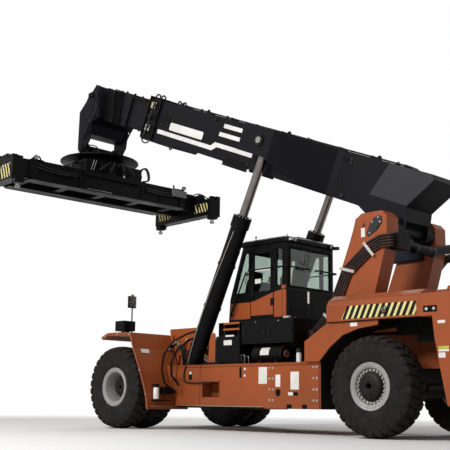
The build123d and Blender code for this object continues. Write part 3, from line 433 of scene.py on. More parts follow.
def grown(seed, tree, finish, **inputs):
    """Runs a geometry node tree on a shape or mesh and returns the result as a plain mesh."""
    seed = outward("seed", seed) if isinstance(seed, Shape) else seed
    holder = bpy.data.objects.new("holder", seed)
    link(holder)
    modifier = holder.modifiers.new("copies", "NODES")
    modifier.node_group = TREES[tree]
    for item in TREES[tree].interface.items_tree:
        value = {"Material": FINISHES[finish], **inputs}.get(item.name)
        if item.in_out == "INPUT" and value is not None:
            modifier[item.identifier] = value
    evaluated = holder.evaluated_get(bpy.context.evaluated_depsgraph_get())
    mesh = bpy.data.meshes.new_from_object(evaluated)
    holder.modifiers.clear()
    bpy.data.objects.remove(holder)
    return mesh


def settled(mesh, at, flipped=False):
    """A grown mesh moved from its own frame to the machine's, or to the machine's other side."""
    mesh = mesh.copy()
    mesh.transform((OTHER_SIDE if flipped else Matrix.Identity(4)) @ at)
    if flipped:
        mesh.flip_normals()
    return smoothed(mesh)


def settle_pair(name, mesh, at, bodies=("chassis", "chassis"), bevel=0.0):
    """A grown mesh as a piece on the left side and another, mirrored, on the right."""
    for side, body in zip(SIDES, bodies):
        placed(f"{name}_{side}", settled(mesh, at, side == "right"), body, bevel)


def moved(x, y, z, frame=MACHINE):
    """A drawing frame moved by millimetres."""
    return frame @ Matrix.Translation((x, y, z))


def bolts(name, places, finish, width, height, both=False, body="chassis", at=None):
    """Bolt heads at (point, facing) places, on both sides of the machine if wanted."""
    if both:
        places = places + [((x, -y, z), (a, -b, c)) for (x, y, z), (a, b, c) in places]
    seed = bpy.data.meshes.new("bolt places")
    seed.from_pydata([point for point, _ in places], [], [])
    facing = seed.attributes.new("facing", "FLOAT_VECTOR", "POINT")
    facing.data.foreach_set("vector", [number for _, way in places for number in way])
    mesh = grown(seed, "bolts", finish, Width=float(width), Height=float(height))
    return placed(name, settled(mesh, at or FRAMES.get(body, MACHINE)), body)


# ---- materials ----
def hexed(code):
    """An sRGB colour written #RRGGBB as linear RGBA."""
    parts = [int(code[i:i + 2], 16) / 255 for i in (1, 3, 5)]
    return (*[p / 12.92 if p <= 0.04045 else ((p + 0.055) / 1.055) ** 2.4 for p in parts], 1.0)


def blank_finish(name, **shader):
    """A new material: its node tree, its shader, and the place on the object in metres."""
    material = bpy.data.materials.new(name)
    material.use_nodes = True
    tree = material.node_tree
    for socket, value in shader.items():
        tree.nodes["Principled BSDF"].inputs[socket.replace("_", " ")].default_value = value
    return material, tree, add(tree, "TexCoord", {}).outputs["Object"]


def grain(tree, place, size_mm, detail=2.0, stretch=(1, 1, 1), shift=0.0):
    """Irregular patches about size_mm across; a stretch under 1 draws them out along that axis."""
    where = add(tree, "Mapping", {"Vector": place, "Scale": stretch, "Location": (shift,) * 3})
    return add(tree, "TexNoise", {"Vector": where, "Scale": 500 / size_mm, "Detail": detail})


def patches(tree, place, size_mm, start, full, most=1.0, least=0.0, **pattern):
    """How much of something there is, patch by patch, from least to most."""
    return add(tree, "MapRange", {"Value": grain(tree, place, size_mm, **pattern), "From Min": start,
        "From Max": full, "To Min": least, "To Max": most})


def settled_dust(tree, place, most):
    """Dust on faces that look up, in uneven patches."""
    normal = add(tree, "NewGeometry", {}).outputs["Normal"]
    up = add(tree, "SeparateXYZ", {"Vector": normal}).outputs["Z"]
    flat = add(tree, "MapRange", {"Value": up, "From Min": 0.3, "From Max": 1.0})
    uneven = patches(tree, place, 30, 0.3, 0.75, most, 0.3 * most, detail=4, shift=7.0)
    return add(tree, "Math", {0: flat, 1: uneven}, operation="MULTIPLY")


def road_splash(tree, place, most):
    """Dirt thrown up by the wheels: thick near the ground, gone at 1.1 m."""
    z = add(tree, "SeparateXYZ", {"Vector": place}).outputs["Z"]
    low = add(tree, "MapRange", {"Value": z, "From Min": 1.1, "From Max": 0.15})
    uneven = patches(tree, place, 40, 0.38, 0.7, most, detail=4, shift=3.0)
    return add(tree, "Math", {0: low, 1: uneven}, operation="MULTIPLY")


def worn_edges(tree, place, most):
    """Chips along the plates' edges, found by how far a rounded normal leans from the face."""
    face = add(tree, "NewGeometry", {}).outputs["True Normal"]
    rounded = add(tree, "Bevel", {"Radius": 0.012}, samples=4)
    agree = add(tree, "VectorMath", {0: face, 1: rounded}, operation="DOT_PRODUCT").outputs["Value"]
    edge = add(tree, "MapRange", {"Value": agree, "From Min": 0.97, "From Max": 0.8})
    uneven = patches(tree, place, 45, 0.5, 0.62, most, detail=5, shift=11.0)
    return add(tree, "Math", {0: edge, 1: uneven}, operation="MULTIPLY")


def complete(material, colour, layers, roughness, bumps, rounding_mm=0.0):
    """A base colour under layers of (amount, colour), then roughness and (height, depth in mm) bumps."""
    tree = material.node_tree
    shader = tree.nodes["Principled BSDF"]
    tone = hexed(colour) if isinstance(colour, str) else colour
    for amount, over in layers:
        tone = add(tree, "Mix", {"Factor": amount, "A": tone, "B": hexed(over)}, data_type="RGBA")
    tree.links.new(next(s for s in tone.outputs if s.enabled), shader.inputs["Base Color"])
    tree.links.new(roughness.outputs[0], shader.inputs["Roughness"])
    sockets = {}
    if rounding_mm:
        sockets["Normal"] = add(tree, "Bevel", {"Radius": rounding_mm / 1000}, samples=4)
    for height, depth in bumps:
        sockets["Normal"] = add(tree, "Bump", {"Height": height, "Distance": depth / 1000, **sockets})
    tree.links.new(sockets["Normal"].outputs[0], shader.inputs["Normal"])
    return material


# how far a coat of paint rounds an edge, in millimetres
ENAMEL_ROUNDING = 6.0


def enamel(name, colour, deep, roughness, dust, wear, splash=0.0, shine=0.45):
    """Sprayed enamel on welded plate: even colour, faint orange peel, dust on top, chipped edges."""
    material, tree, place = blank_finish(name, Specular_IOR_Level=shine)
    layers = [(patches(tree, place, 900, 0.35, 0.7, detail=3), deep),
        (patches(tree, place, 60, 0.52, 0.8, 0.4, detail=3, stretch=(1, 1, 0.08), shift=3.0), deep),
        (settled_dust(tree, place, dust), "#93826e")]
    if splash:
        layers.append((road_splash(tree, place, splash), "#5f4f41"))
    if wear:
        layers.append((worn_edges(tree, place, wear), "#a3988c"))
    gloss = patches(tree, place, 300, 0.3, 0.7, roughness + 0.12, roughness - 0.06, detail=3, shift=5.0)
    # orange peel is under 2 mm across, drawn at 9 mm so that it shows; plate waviness is real
    bumps = [(grain(tree, place, 9, 1), 0.05), (grain(tree, place, 420, 1, shift=2.0), 1.2)]
    return complete(material, colour, layers, gloss, bumps, ENAMEL_ROUNDING)


def tyre_rubber(name):
    """Moulded tyre compound: dead black going brown where dust clings, with a fine pebbled skin."""
    material, tree, place = blank_finish(name, Specular_IOR_Level=0.18)
    layers = [(patches(tree, place, 220, 0.3, 0.75, detail=4), "#191716"),
        (patches(tree, place, 35, 0.42, 0.75, 0.4, detail=4, shift=4.0), "#2f2720"),
        (settled_dust(tree, place, 0.3), "#4b4136")]
    rough = patches(tree, place, 90, 0.3, 0.7, 0.9, 0.66)
    return complete(material, "#100f0e", layers, rough, [(grain(tree, place, 6), 0.25),
        (grain(tree, place, 70), 0.8)])


def rubber_cover(name, colour, rubbed, shine=0.25):
    """Extruded rubber hose cover: dark and satin, rubbed grey along its outside."""
    material, tree, place = blank_finish(name, Specular_IOR_Level=shine)
    layers = [(patches(tree, place, 60, 0.42, 0.75, detail=3), rubbed)]
    rough = patches(tree, place, 30, 0.3, 0.7, 0.62, 0.38)
    return complete(material, colour, layers, rough, [(grain(tree, place, 4, 1), 0.2)])


def metal(name, colour, dull, roughness, grain_mm=3.0, stretch=(1, 1, 1), depth=0.03, stain=0.4):
    """Bare or plated metal: its own reflections, broken by fine lines and a few stains."""
    material, tree, place = blank_finish(name, Metallic=1.0)
    rough = patches(tree, place, grain_mm, 0.3, 0.7, roughness * 1.35, roughness * 0.7, detail=3,
        stretch=stretch)
    return complete(material, colour, [(patches(tree, place, 80, 0.42, 0.8, stain, detail=3), dull)], rough,
        [(grain(tree, place, grain_mm, 3, stretch), depth)])


def moulded(name, colour, deep, roughness, grain_mm=2.5, depth=0.1, **shader):
    """Moulded plastic or printed film: even colour under a fine grain."""
    material, tree, place = blank_finish(name, **shader)
    layers = [(patches(tree, place, 160, 0.35, 0.75, detail=3), deep),
        (settled_dust(tree, place, 0.25), "#857b6c")]
    rough = patches(tree, place, 60, 0.3, 0.7, roughness * 1.2, roughness * 0.85, shift=1.0)
    return complete(material, colour, layers, rough, [(grain(tree, place, grain_mm), depth)])


def striped(name, slant, pitch_mm, pale, dark, across_way):
    """Retroreflective film with diagonal bands, faded in patches; across_way runs along the strip."""
    material, tree, place = blank_finish(name, Specular_IOR_Level=0.15)
    turn = math.radians(slant)
    way = [math.cos(turn) * part for part in across_way] + [math.sin(turn)]
    reach = add(tree, "VectorMath", {0: place, 1: way}, operation="DOT_PRODUCT").outputs["Value"]
    turns = add(tree, "Math", {0: reach, 1: 1000 / pitch_mm}, operation="MULTIPLY")
    wrapped = add(tree, "Math", {0: turns}, operation="FRACT")
    band = add(tree, "MapRange", {"Value": wrapped, "From Min": 0.42, "From Max": 0.44})
    pale_film = add(tree, "Mix", {"Factor": patches(tree, place, 70, 0.42, 0.8, 0.5, detail=4),
        "A": hexed(pale), "B": hexed("#b0a163")}, data_type="RGBA")
    rough = patches(tree, place, 50, 0.3, 0.7, 0.55, 0.35, detail=3)
    return complete(material, pale_film, [(band, dark)], rough, [(grain(tree, place, 5, 1), 0.05)])


def glazing(name, colour):
    """Tinted safety glass with a film of dust that blurs it in patches."""
    material, tree, place = blank_finish(name, Transmission_Weight=1.0, IOR=1.45)
    layers = [(patches(tree, place, 400, 0.4, 0.8, 0.5, detail=3), "#b9c6ba")]
    rough = patches(tree, place, 120, 0.45, 0.85, 0.12, 0.02, detail=4)
    return complete(material, colour, layers, rough, [(grain(tree, place, 500, 1), 0.3)])


def woven(name, colour, deep):
    """Woven seat cloth: two thread directions, drawn 12 mm apart so that they show."""
    material, tree, place = blank_finish(name, Sheen_Weight=0.12, Sheen_Roughness=0.5)
    warp = add(tree, "TexWave", {"Vector": place, "Scale": 26.0}, bands_direction="Y")
    weft = add(tree, "TexWave", {"Vector": place, "Scale": 26.0}, bands_direction="DIAGONAL")
    weave = add(tree, "Math", {0: warp.outputs["Fac"], 1: weft.outputs["Fac"]}, operation="MULTIPLY")
    rough = add(tree, "MapRange", {"Value": weave, "To Min": 0.9, "To Max": 0.7})
    return complete(material, deep, [(weave, colour), (patches(tree, place, 140, 0.4, 0.8, 0.4),
        "#2b2926")], rough, [(weave, 0.6)])


# ---- sizes and colours a user would change ----
def colour_setting(name, description, code):
    return bpy.props.FloatVectorProperty(name=name, description=description, subtype="COLOR_GAMMA", size=3,
        min=0.0, max=1.0, default=[int(code[i:i + 2], 16) / 255 for i in (1, 3, 5)])


def length_setting(name, description, metres):
    return bpy.props.FloatProperty(name=name, description=description, default=metres, min=0.001,
        unit="LENGTH", subtype="DISTANCE")


class StackerPaint(bpy.types.PropertyGroup):
    body: colour_setting("Body paint", "Enamel of the frame, fenders, towers and decks", "#9b4c22")
    boom: colour_setting("Boom paint", "Enamel of the boom", "#121116")
    machinery: colour_setting("Machinery paint", "Enamel of the spreader, cylinders and cab frame",
        "#0a0a0b")
    stripe_pale: colour_setting("Pale stripe", "Light bands of the warning stripes", "#dccf8c")
    stripe_dark: colour_setting("Dark stripe", "Dark bands of the warning stripes", "#0b0a08")


class StackerSizes(bpy.types.PropertyGroup):
    lugs: bpy.props.IntProperty(name="Tread lugs", description="Lugs round each half of a tyre", default=30,
        min=12, max=48)
    lug_depth: length_setting("Lug depth", "How far the tread stands over its grooves", 0.046)
    stripe_pitch: length_setting("Stripe pitch", "Distance from one dark band to the next", 0.108)


def paint_code(name):
    """A colour setting as #RRGGBB."""
    colour = getattr(bpy.context.scene.stacker_paint, name)
    return "#" + "".join(f"{round(part * 255):02x}" for part in colour)


def sizes():
    """The size settings."""
    return bpy.context.scene.stacker_sizes


FINISHES = {}
TREES = {}


def make_finishes():
    """Every material and node tree, made once before the pieces."""
    body, boom, machinery = (paint_code(name) for name in ("body", "boom", "machinery"))
    pale, dark = paint_code("stripe_pale"), paint_code("stripe_dark")
    pitch = 1000 * sizes().stripe_pitch
    FINISHES.update(
        # satin enamel, dusty on top, splashed low down and chipped along its edges
        terracotta=enamel("terracotta enamel", body, "#85401c", 0.42, dust=0.15, splash=0.3, wear=0.25,
            shine=0.25),
        # thin oily film over charcoal paint, so its shine is weak
        charcoal=enamel("charcoal enamel", boom, "#0f0e12", 0.45, dust=0.1, wear=0.12, shine=0.08),
        # the same oily film over a paler coat
        grey=enamel("grey enamel", "#333335", "#2b2b2e", 0.42, dust=0.15, wear=0.12, shine=0.12),
        # greasy black that shows little but the dust on its tops
        black=enamel("black enamel", machinery, "#0d0c0c", 0.42, dust=0.09, splash=0.12, wear=0.1,
            shine=0.07),
        # flat grey of a bought-in control box
        mid_grey=enamel("mid grey enamel", "#7a7a79", "#5b5b5a", 0.45, dust=0.15, wear=0.1, shine=0.15),
        # dark blue valve block, barely told from black
        navy=enamel("navy enamel", "#0f1526", "#0b0f1b", 0.42, dust=0.15, wear=0.15, shine=0.15),
        # wheel enamel gone grey with mud, glossy where it is clean
        white=enamel("white wheel enamel", "#a9a8a5", "#7c7a76", 0.32, dust=0.15, splash=0.45, wear=0.2),
        # paint over rough castings, dull and dirty
        cast=enamel("painted casting", "#141313", "#0e0d0d", 0.5, dust=0.2, splash=0.25, wear=0.2,
            shine=0.15),
        # painted shade: matt black laid inside the wheel arches and under the towers, where the underbody lies in
        # shade
        underseal=enamel("matt underseal", "#0d0c0c", "#131110", 0.75, dust=0.1, splash=0.3, wear=0.0,
            shine=0.1),
        # dead black that goes brown where dust clings
        tyre=tyre_rubber("moulded tyre rubber"),
        # satin cover, rubbed grey along its outside
        rubber=rubber_cover("rubber hose cover", "#0e0d0d", "#241f1c"),
        # hose covers gone brown with paint overspray and dust
        old_rubber=rubber_cover("overspray on hose covers", "#1d1210", "#3f2219"),
        # woven sleeve over the hoses, with no shine
        sleeve=rubber_cover("woven hose sleeve", "#060607", "#0e0d0e", 0.08),
        # polished grey chrome, with a faint blur from fine grinding marks round the rod
        chrome=metal("hard chrome", "#77716f", "#4d4745", 0.24, 2.5, depth=0.01),
        # passivated zinc: pale with a yellow cast
        zinc=metal("zinc plated steel", "#b5b0a6", "#85806f", 0.36),
        # black oxide pipe with an oily gloss
        pipe=metal("oiled steel pipe", "#4b4844", "#26231f", 0.34, 4.0, depth=0.02),
        # rolled bar straight from the mill, with lines along it
        steel=metal("mill finish steel", "#8d8a86", "#5e5852", 0.42, 5.0, (1, 1, 0.2), 0.05),
        # thin steel shield browned by exhaust heat
        heat=metal("heat stained shield", "#6f6a63", "#3c3631", 0.5, 6.0, depth=0.2, stain=0.8),
        # primer showing round the air tanks' ports
        copper=enamel("pink primer", "#8a5a58", "#5b3a38", 0.5, dust=0.2, wear=0.0),
        # yellow brass pipe dulled by air
        brass=metal("dull brass pipe", "#a5854a", "#6d5733", 0.38, 3.0),
        # fine-grained housing, even and satin
        plastic=moulded("moulded black plastic", "#0f0f10", "#171719", 0.5, Specular_IOR_Level=0.2),
        # matt black rubber for seals, wipers, mounts and seams; also painted shade in the side slots and a painted
        # shadow under the side panels' bottom strip
        gasket=moulded("extruded rubber gasket", "#070707", "#0d0d0d", 0.7, Specular_IOR_Level=0.08),
        # smooth printed film, white going grey
        film=moulded("white label film", "#dedcd6", "#c4c1b8", 0.4, 6.0, 0.03),
        # cut vinyl, whiter than the labels and a little glossier
        vinyl=moulded("white stripe vinyl", "#e2e1de", "#cbc8c2", 0.35, 8.0, 0.02),
        # the same film printed pale green
        sticker=moulded("pale green label film", "#aeb43c", "#959b28", 0.4, 6.0, 0.03),
        # ribbed red plastic under a clear glossy skin
        red_lens=moulded("red lamp lens", "#7d1310", "#5d0e0c", 0.15, 4.0, Coat_Weight=0.6),
        # the same plastic in amber
        amber_lens=moulded("amber lamp lens", "#b9641a", "#95511a", 0.15, 4.0, Coat_Weight=0.6),
        # yellow plastic that looks olive while its lamp is off
        olive_lens=moulded("unlit yellow lamp lens", "#4c4420", "#2e2a14", 0.15, 4.0, Coat_Weight=0.6),
        # clear plastic, pale with its reflector behind it
        clear_lens=moulded("clear lamp lens", "#c3c6c3", "#a0a4a1", 0.12, 5.0, Coat_Weight=0.8),
        # green tint, blurred where the dust lies
        glass=glazing("tinted safety glass", "#c6d2cb"),
        # two thread directions in near black
        cloth=woven("woven seat cloth", "#1b1c20", "#0e0f11"),
        # reflecting film whose pale bands have faded unevenly
        side_stripes=striped("striped film along the deck", 26, pitch, pale, dark, (1, 0)),
        # the same film, leaning the other way
        end_stripes=striped("striped film along the spreader", -22, pitch, pale, dark, (1, 0)),
        # the same film, at 45 degrees
        rear_stripes=striped("striped film across the rear", 45, pitch, pale, dark, (0, 1)),
    )
    TREES.update(ring=ring_tree(), row=row_tree(), bolts=bolt_tree())


# ---- stage ----
def seen_directly(tree):
    """1 for what the camera sees directly, by reflection or through glass, 0 for what lights the scene."""
    rays = add(tree, "LightPath", {}).outputs
    mirrored = add(tree, "Math", {0: rays["Is Glossy Ray"], 1: rays["Is Transmission Ray"]},
        operation="MAXIMUM")
    return add(tree, "Math", {0: rays["Is Camera Ray"], 1: mirrored}, operation="MAXIMUM")


class STACKER_OT_stage(bpy.types.Operator):
    """Camera, lamps and a pale floor"""
    bl_idname = "stacker.stage"
    bl_label = "Stage"

    # axes and place of the camera, from the ground under the front axle
    RIGHT = (-0.71248, -0.70159, 0.01166)
    UP = (-0.11831, 0.13649, 0.98355)
    LOOK = (0.69164, -0.69938, 0.18025)
    PLACE = (-14.878, 13.648, 0.576)
    LENS = 71.79
    SHIFT = (-0.01833, 0.02578)

    def camera(self):
        data = bpy.data.cameras.new("camera")
        data.sensor_width = 36
        data.lens = self.LENS
        data.shift_x, data.shift_y = self.SHIFT
        data.clip_end = 300
        camera = bpy.data.objects.new("camera", data)
        link(camera)
        axes = Matrix((self.RIGHT, self.UP, [-part for part in self.LOOK])).transposed().to_4x4()
        camera.matrix_world = Matrix.Translation((self.PLACE[0] + AXLE_X, *self.PLACE[1:])) @ axes
        bpy.context.scene.camera = camera

    def lamp(self, name, place, aim, watts, size):
        data = bpy.data.lights.new(name, "AREA")
        data.shape = "DISK"
        data.energy, data.size = watts, size
        lamp = bpy.data.objects.new(name, data)
        link(lamp)
        lamp.location = place
        lamp.rotation_euler = (Vector(aim) - Vector(place)).to_track_quat("-Z", "Y").to_euler()

    def world(self):
        world = bpy.data.worlds.new("studio")
        world.use_nodes = True
        bpy.context.scene.world = world
        tree = world.node_tree
        back = tree.nodes["Background"]
        seen = seen_directly(tree)
        level = add(tree, "MapRange", {"Value": seen, "To Min": 0.32, "To Max": 1.0})
        tree.links.new(level.outputs["Result"], back.inputs["Strength"])
        back.inputs["Color"].default_value = (1, 1, 1, 1)

    def floor(self):
        material = bpy.data.materials.new("pale floor")
        material.use_nodes = True
        tree = material.node_tree
        shader = tree.nodes["Principled BSDF"]
        shader.inputs["Base Color"].default_value = hexed("#e9e8e6")
        shader.inputs["Roughness"].default_value = 0.9
        shader.inputs["Specular IOR Level"].default_value = 0.1
        place = add(tree, "TexCoord", {}).outputs["Object"]
        reach = add(tree, "VectorMath", {"Vector": place}, operation="LENGTH")
        far = add(tree, "MapRange", {"Value": reach.outputs["Value"], "From Min": 8.0, "From Max": 17.0},
            interpolation_type="SMOOTHSTEP")
        fade = add(tree, "Math", {0: far, 1: seen_directly(tree)}, operation="MULTIPLY")
        glow = add(tree, "Emission", {"Color": (1, 1, 1, 1), "Strength": 1.0})
        both = add(tree, "MixShader", {"Fac": fade, 1: shader, 2: glow})
        tree.links.new(both.outputs[0], tree.nodes["Material Output"].inputs["Surface"])
        mesh = bpy.data.meshes.new("floor")
        mesh.from_pydata([(x, y, 0) for x, y in circle(200, 64)], [], [list(range(64))])
        mesh.materials.append(material)
        floor = bpy.data.objects.new("floor", mesh)
        link(floor)
        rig.stage(floor)

    def execute(self, context):
        bpy.context.scene.view_settings.view_transform = "Standard"
        self.camera()
        self.world()
        self.floor()
        self.lamp("key", (-1, 18, 12), (-0.5, 0, 3), 3000, 5)
        self.lamp("fill", (-13, 12, 7), (-1, 0, 3), 160, 8)
        self.lamp("rim", (10, -12, 12), (0, 0, 4), 900, 8)
        return {"FINISHED"}


# ---- finishes of the CAD nodes ----
NODE_FINISHES = {
    "terracotta": ("main_frame", "side_tanks", "front_fenders", "boom_towers", "rear_decks",
        "engine_hood", "counterweight"),
    "charcoal": ("outer_boom", "inner_boom", "lift_brackets", "boom_head"),
    "black": ("cab_shell", "cab_roof", "cab_cabinet", "cab_door", "cab_rails", "battery_boxes",
        "air_tanks", "cylinder_barrel_left", "cylinder_barrel_right", "head_hanger", "rotator",
        "spreader_frame", "spreader_arm_left", "spreader_arm_right", "fender_mirrors",
        "cab_controls"),
    "chrome": ("cylinder_rod_left", "cylinder_rod_right"),
    "cast": ("front_axle", "steer_axle", "knuckle_left", "knuckle_right", "gearbox", "engine",
        "drive_shaft", "steer_cylinder"),
    "sleeve": ("hose_sleeve",),
    "old_rubber": ("tower_hoses",),
    "steel": ("twistlock_front_left", "twistlock_front_right", "twistlock_rear_left",
        "twistlock_rear_right"),
    "heat": ("exhaust",),
    "glass": ("cab_glass", "door_glass"),
    "cloth": ("seat",),
}


class STACKER_OT_frame_finishes(bpy.types.Operator):
    """Materials of the CAD nodes that stay in sight"""
    bl_idname = "stacker.frame_finishes"
    bl_label = "Frame finishes"

    def execute(self, context):
        for finish, names in NODE_FINISHES.items():
            for name in names:
                for slot in NODES[name].material_slots:
                    slot.material = FINISHES[finish]
        return {"FINISHED"}


# ---- wheels ----
TYRE_R = 835
TREAD_HALF = 218
FRONT_OUTER_Y, FRONT_INNER_Y, REAR_Y = 1830, 1270, 1380
# how far the tread drops from its middle to its shoulder, and a lug's foot under the tread: at least
# LUG_ROOT, then a share of the lug's depth that sinks into the casing
TREAD_DROP = 38
LUG_ROOT, LUG_FOOT_SHARE = 45, 0.35
# half of a tyre's section from bead to crown: distance from its middle, radius
TYRE_SECTION = [(186, 319), (194, 372), (199, 396), (212, 430), (218, 436), (222, 448), (233, 520),
    (238, 590), (236, 655), (229, 715), (218, 757), (200, 782), (150, 789), (60, 792)]
# one lug from the tread's middle to the side wall: distance from the middle, turn and half width in
# degrees, radius of its top
LUG_STATIONS = [(12, -2.2, 4.4, 0), (70, -1.0, 4.3, 0), (130, 0.2, 4.0, 0), (185, 0.5, 3.8, 0),
    (217, 0.5, 3.7, 797), (231, 0.5, 3.4, 768), (238, 0.5, 2.9, 722)]


class STACKER_OT_tyres(bpy.types.Operator):
    """Tyres with deep tread lugs that run down on to the side walls"""
    bl_idname = "stacker.tyres"
    bl_label = "Tyres"

    def casing(self, shape, middle):
        section = [(-y, r) for y, r in TYRE_SECTION] + TYRE_SECTION[::-1]
        shape.turned(section, (0, middle, 0), Y, 72, closed=True)

    def lug(self, shape, middle, way, turn):
        rings = []
        for y, skew, half, top in LUG_STATIONS:
            top = top or TYRE_R - TREAD_DROP * (y / TREAD_HALF) ** 2
            base = min(top, TYRE_R - LUG_ROOT) - LUG_FOOT_SHARE * 1000 * sizes().lug_depth
            ring = []
            for share, radius in ((-1.22, base), (-1.0, top), (1.0, top), (1.22, base)):
                angle = math.radians(turn + skew + share * half)
                ring.append((radius * math.sin(angle), middle + way * y, radius * math.cos(angle)))
            rings.append(ring)
        shape.skin(rings)

    def execute(self, context):
        pitch = 360 / sizes().lugs
        wheels = {"front_tyres": (0, (FRONT_OUTER_Y, FRONT_INNER_Y), "front_wheels"),
            "rear_tyre": (-WHEELBASE, (REAR_Y,), "rear_wheel")}
        for node, (x, middles, body) in wheels.items():
            at = moved(x, 0, AXLE_Z)
            casing, tread = Shape(), Shape()
            for middle in middles:
                self.casing(casing, middle)
                self.lug(tread, middle, 1, 0)
                self.lug(tread, middle, -1, pitch / 2)
            lugs = grown(tread, "ring", "tyre", Count=sizes().lugs)
            for side in SIDES:
                flipped = side == "right"
                name = f"{node}_{side}"
                mesh = shaped("casing_" + name, casing, "tyre", at, flipped)
                wall = placed("casing_" + name, mesh, f"{body}_{side}")
                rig.replaces(wall, name)
                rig.slot(wall, "tyre")
                tread_piece = placed("tread_" + name, settled(lugs, at, flipped), f"{body}_{side}", 5)
                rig.slot(tread_piece, "tyre")
        return {"FINISHED"}


class STACKER_OT_rims(bpy.types.Operator):
    """White wheel rims, black hubs and the nuts round them"""
    bl_idname = "stacker.rims"
    bl_label = "Rims and hubs"

    def band(self, shape, middle, out=1):
        """A rim band with rolled flanges, a gutter and a lock ring on its outer side."""
        section = [(-205, 302), (-205, 388), (-198, 394), (-188, 388), (-186, 326), (-178, 318), (178, 318),
            (186, 326), (188, 386), (196, 394), (206, 390), (209, 378), (203, 372), (199, 352), (206, 344),
            (205, 330), (194, 322), (190, 306), (176, 300), (-190, 298)]
        shape.turned([(out * y, r) for y, r in section], (0, middle, 0), Y, 72, closed=True)

    def execute(self, context):
        front, hub = Shape(), Shape()
        for middle, out in ((FRONT_OUTER_Y, 1), (FRONT_INNER_Y, -1)):
            self.band(front, middle, out)
        front.turned([(1470, 300), (1630, 300), (1630, 318), (1470, 318)], (0, 0, 0), Y, 48, closed=True)
        front.turned([(1662, 240), (1662, 300), (1690, 300), (1694, 290), (1694, 240)], (0, 0, 0), Y, 60,
            closed=True)
        hub.turned([(1010, 199), (1010, 92), (1300, 92), (1300, 60), (1600, 60), (1880, 40), (1889, 118),
            (1886, 130), (1872, 136), (1868, 168), (1838, 186), (1800, 192), (1792, 214), (1760, 222),
            (1712, 226), (1706, 243), (1672, 243), (1660, 199)], (0, 0, 0), Y, 60, closed=True)
        self.fit("front_rims", "front_wheels", 0, front, hub, (1700, 262, 24), (1868, 150, 12))
        rear, hub = Shape(), Shape()
        self.band(rear, REAR_Y)
        rear.turned([(1492, 232), (1492, 300), (1518, 300), (1524, 292), (1524, 232)], (0, 0, 0), Y, 60,
            closed=True)
        hub.turned([(1210, 179), (1210, 92), (1420, 92), (1420, 60), (1560, 40), (1619, 60), (1619, 118),
            (1608, 128), (1600, 190), (1584, 212), (1548, 226), (1536, 246), (1512, 246), (1490, 220),
            (1486, 179)], (0, 0, 0), Y, 60, closed=True)
        self.fit("rear_rim", "rear_wheel", -WHEELBASE, rear, hub, (1530, 268, 24), (1606, 160, 12))
        return {"FINISHED"}

    def fit(self, node, body, x, rim, hub, nuts, screws):
        at = moved(x, 0, AXLE_Z)
        pieces = [("rim", rim, "white", "white_paint"), ("hub", hub, "cast", "cast_grey")]
        studs = []
        for (y, radius, count), width, length in ((nuts, 17, 26), (screws, 11, 12)):
            seed = Shape()
            seed.bar((0, y - 8, radius), (0, y + length, radius), width, 6)
            if width == 17:
                seed.bar((0, y + length - 2, radius), (0, y + length + 14, radius), 9, 8)
            studs.append(grown(seed, "ring", "zinc" if width == 17 else "cast", Count=count))
        for side in SIDES:
            flipped = side == "right"
            rider = f"{body}_{side}"
            for label, shape, finish, slot in pieces:
                name = f"{label}_{node}_{side}"
                piece = placed(name, shaped(name, shape, finish, at, flipped), rider)
                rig.slot(piece, slot)
                if label == "rim":
                    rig.replaces(piece, f"{node}_{side}")
            for index, mesh in enumerate(studs):
                placed(f"nuts_{node}_{side}_{index + 1}", settled(mesh, at, flipped), rider)


# ---- boom ----
# half of the outer boom's width, the lift pin on it, and the height of the pin in its head
BOOM_HALF = 420
LIFT_PIN = (2968, 850)
HEAD_PIN = 6950
# outlines on the boom's side, as (along, up) from its pivot
GREY_PANEL = [(545, 1119), (-410, 1119), (-482, 1052), (-84, 466), (785, 470)]
LOW_STRIPE = [(7340, 360), (5320, 360), (5180, 462), (4030, 462), (4030, 556), (5270, 556), (5390, 456),
    (7340, 456)]
# rectangles on the boom's side: two limits along it, two heights
HIGH_STRIPES = ((4060, 5215, 712, 802), (3960, 5135, 908, 998))
NAME_PANEL = (5724, 6937, 512, 692)
SIDE_COVERS = ((1390, 1730, 905, 1035), (4060, 4860, 135, 330), (7000, 7280, 560, 900))


def rounded(x, z, radius, steps=5):
    """Corners of a rectangle with rounded corners."""
    outline = []
    for centre, start in (((x[1] - radius, z[1] - radius), 0), ((x[0] + radius, z[1] - radius), 90),
            ((x[0] + radius, z[0] + radius), 180), ((x[1] - radius, z[0] + radius), 270)):
        for step in range(steps + 1):
            angle = math.radians(start + 90 * step / steps)
            outline.append((centre[0] + radius * math.cos(angle), centre[1] + radius * math.sin(angle)))
    return outline


def corner_bolts(x, z, y):
    """Bolt places at the corners of a cover on a side face, 28 mm in from its edges."""
    return [((a, y, b), Y) for a in (x[0] + 28, x[1] - 28) for b in (z[0] + 28, z[1] - 28)]


class STACKER_OT_boom_marks(bpy.types.Operator):
    """Grey rear panels, white stripes and blank name panels of the boom"""
    bl_idname = "stacker.boom_marks"
    bl_label = "Boom panels and stripes"

    def execute(self, context):
        panel = Shape().plate(GREY_PANEL, (BOOM_HALF - 4, BOOM_HALF + 6)).mirror()
        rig.slot(make("boom_rear_panels", panel, "grey", "boom", 3), "charcoal_paint")
        stripes = Shape().plate(LOW_STRIPE, (BOOM_HALF - 1, BOOM_HALF + 2))
        for x0, x1, z0, z1 in HIGH_STRIPES:
            stripes.block((x0, x1), (BOOM_HALF - 1, BOOM_HALF + 2), (z0, z1))
        make("boom_stripes", stripes.mirror(), "vinyl", "boom")
        x0, x1, z0, z1 = NAME_PANEL
        make("boom_name_panels", Shape().plate(rounded((x0, x1), (z0, z1), 40),
            (BOOM_HALF - 1, BOOM_HALF + 4)).mirror(), "vinyl", "boom")
        return {"FINISHED"}


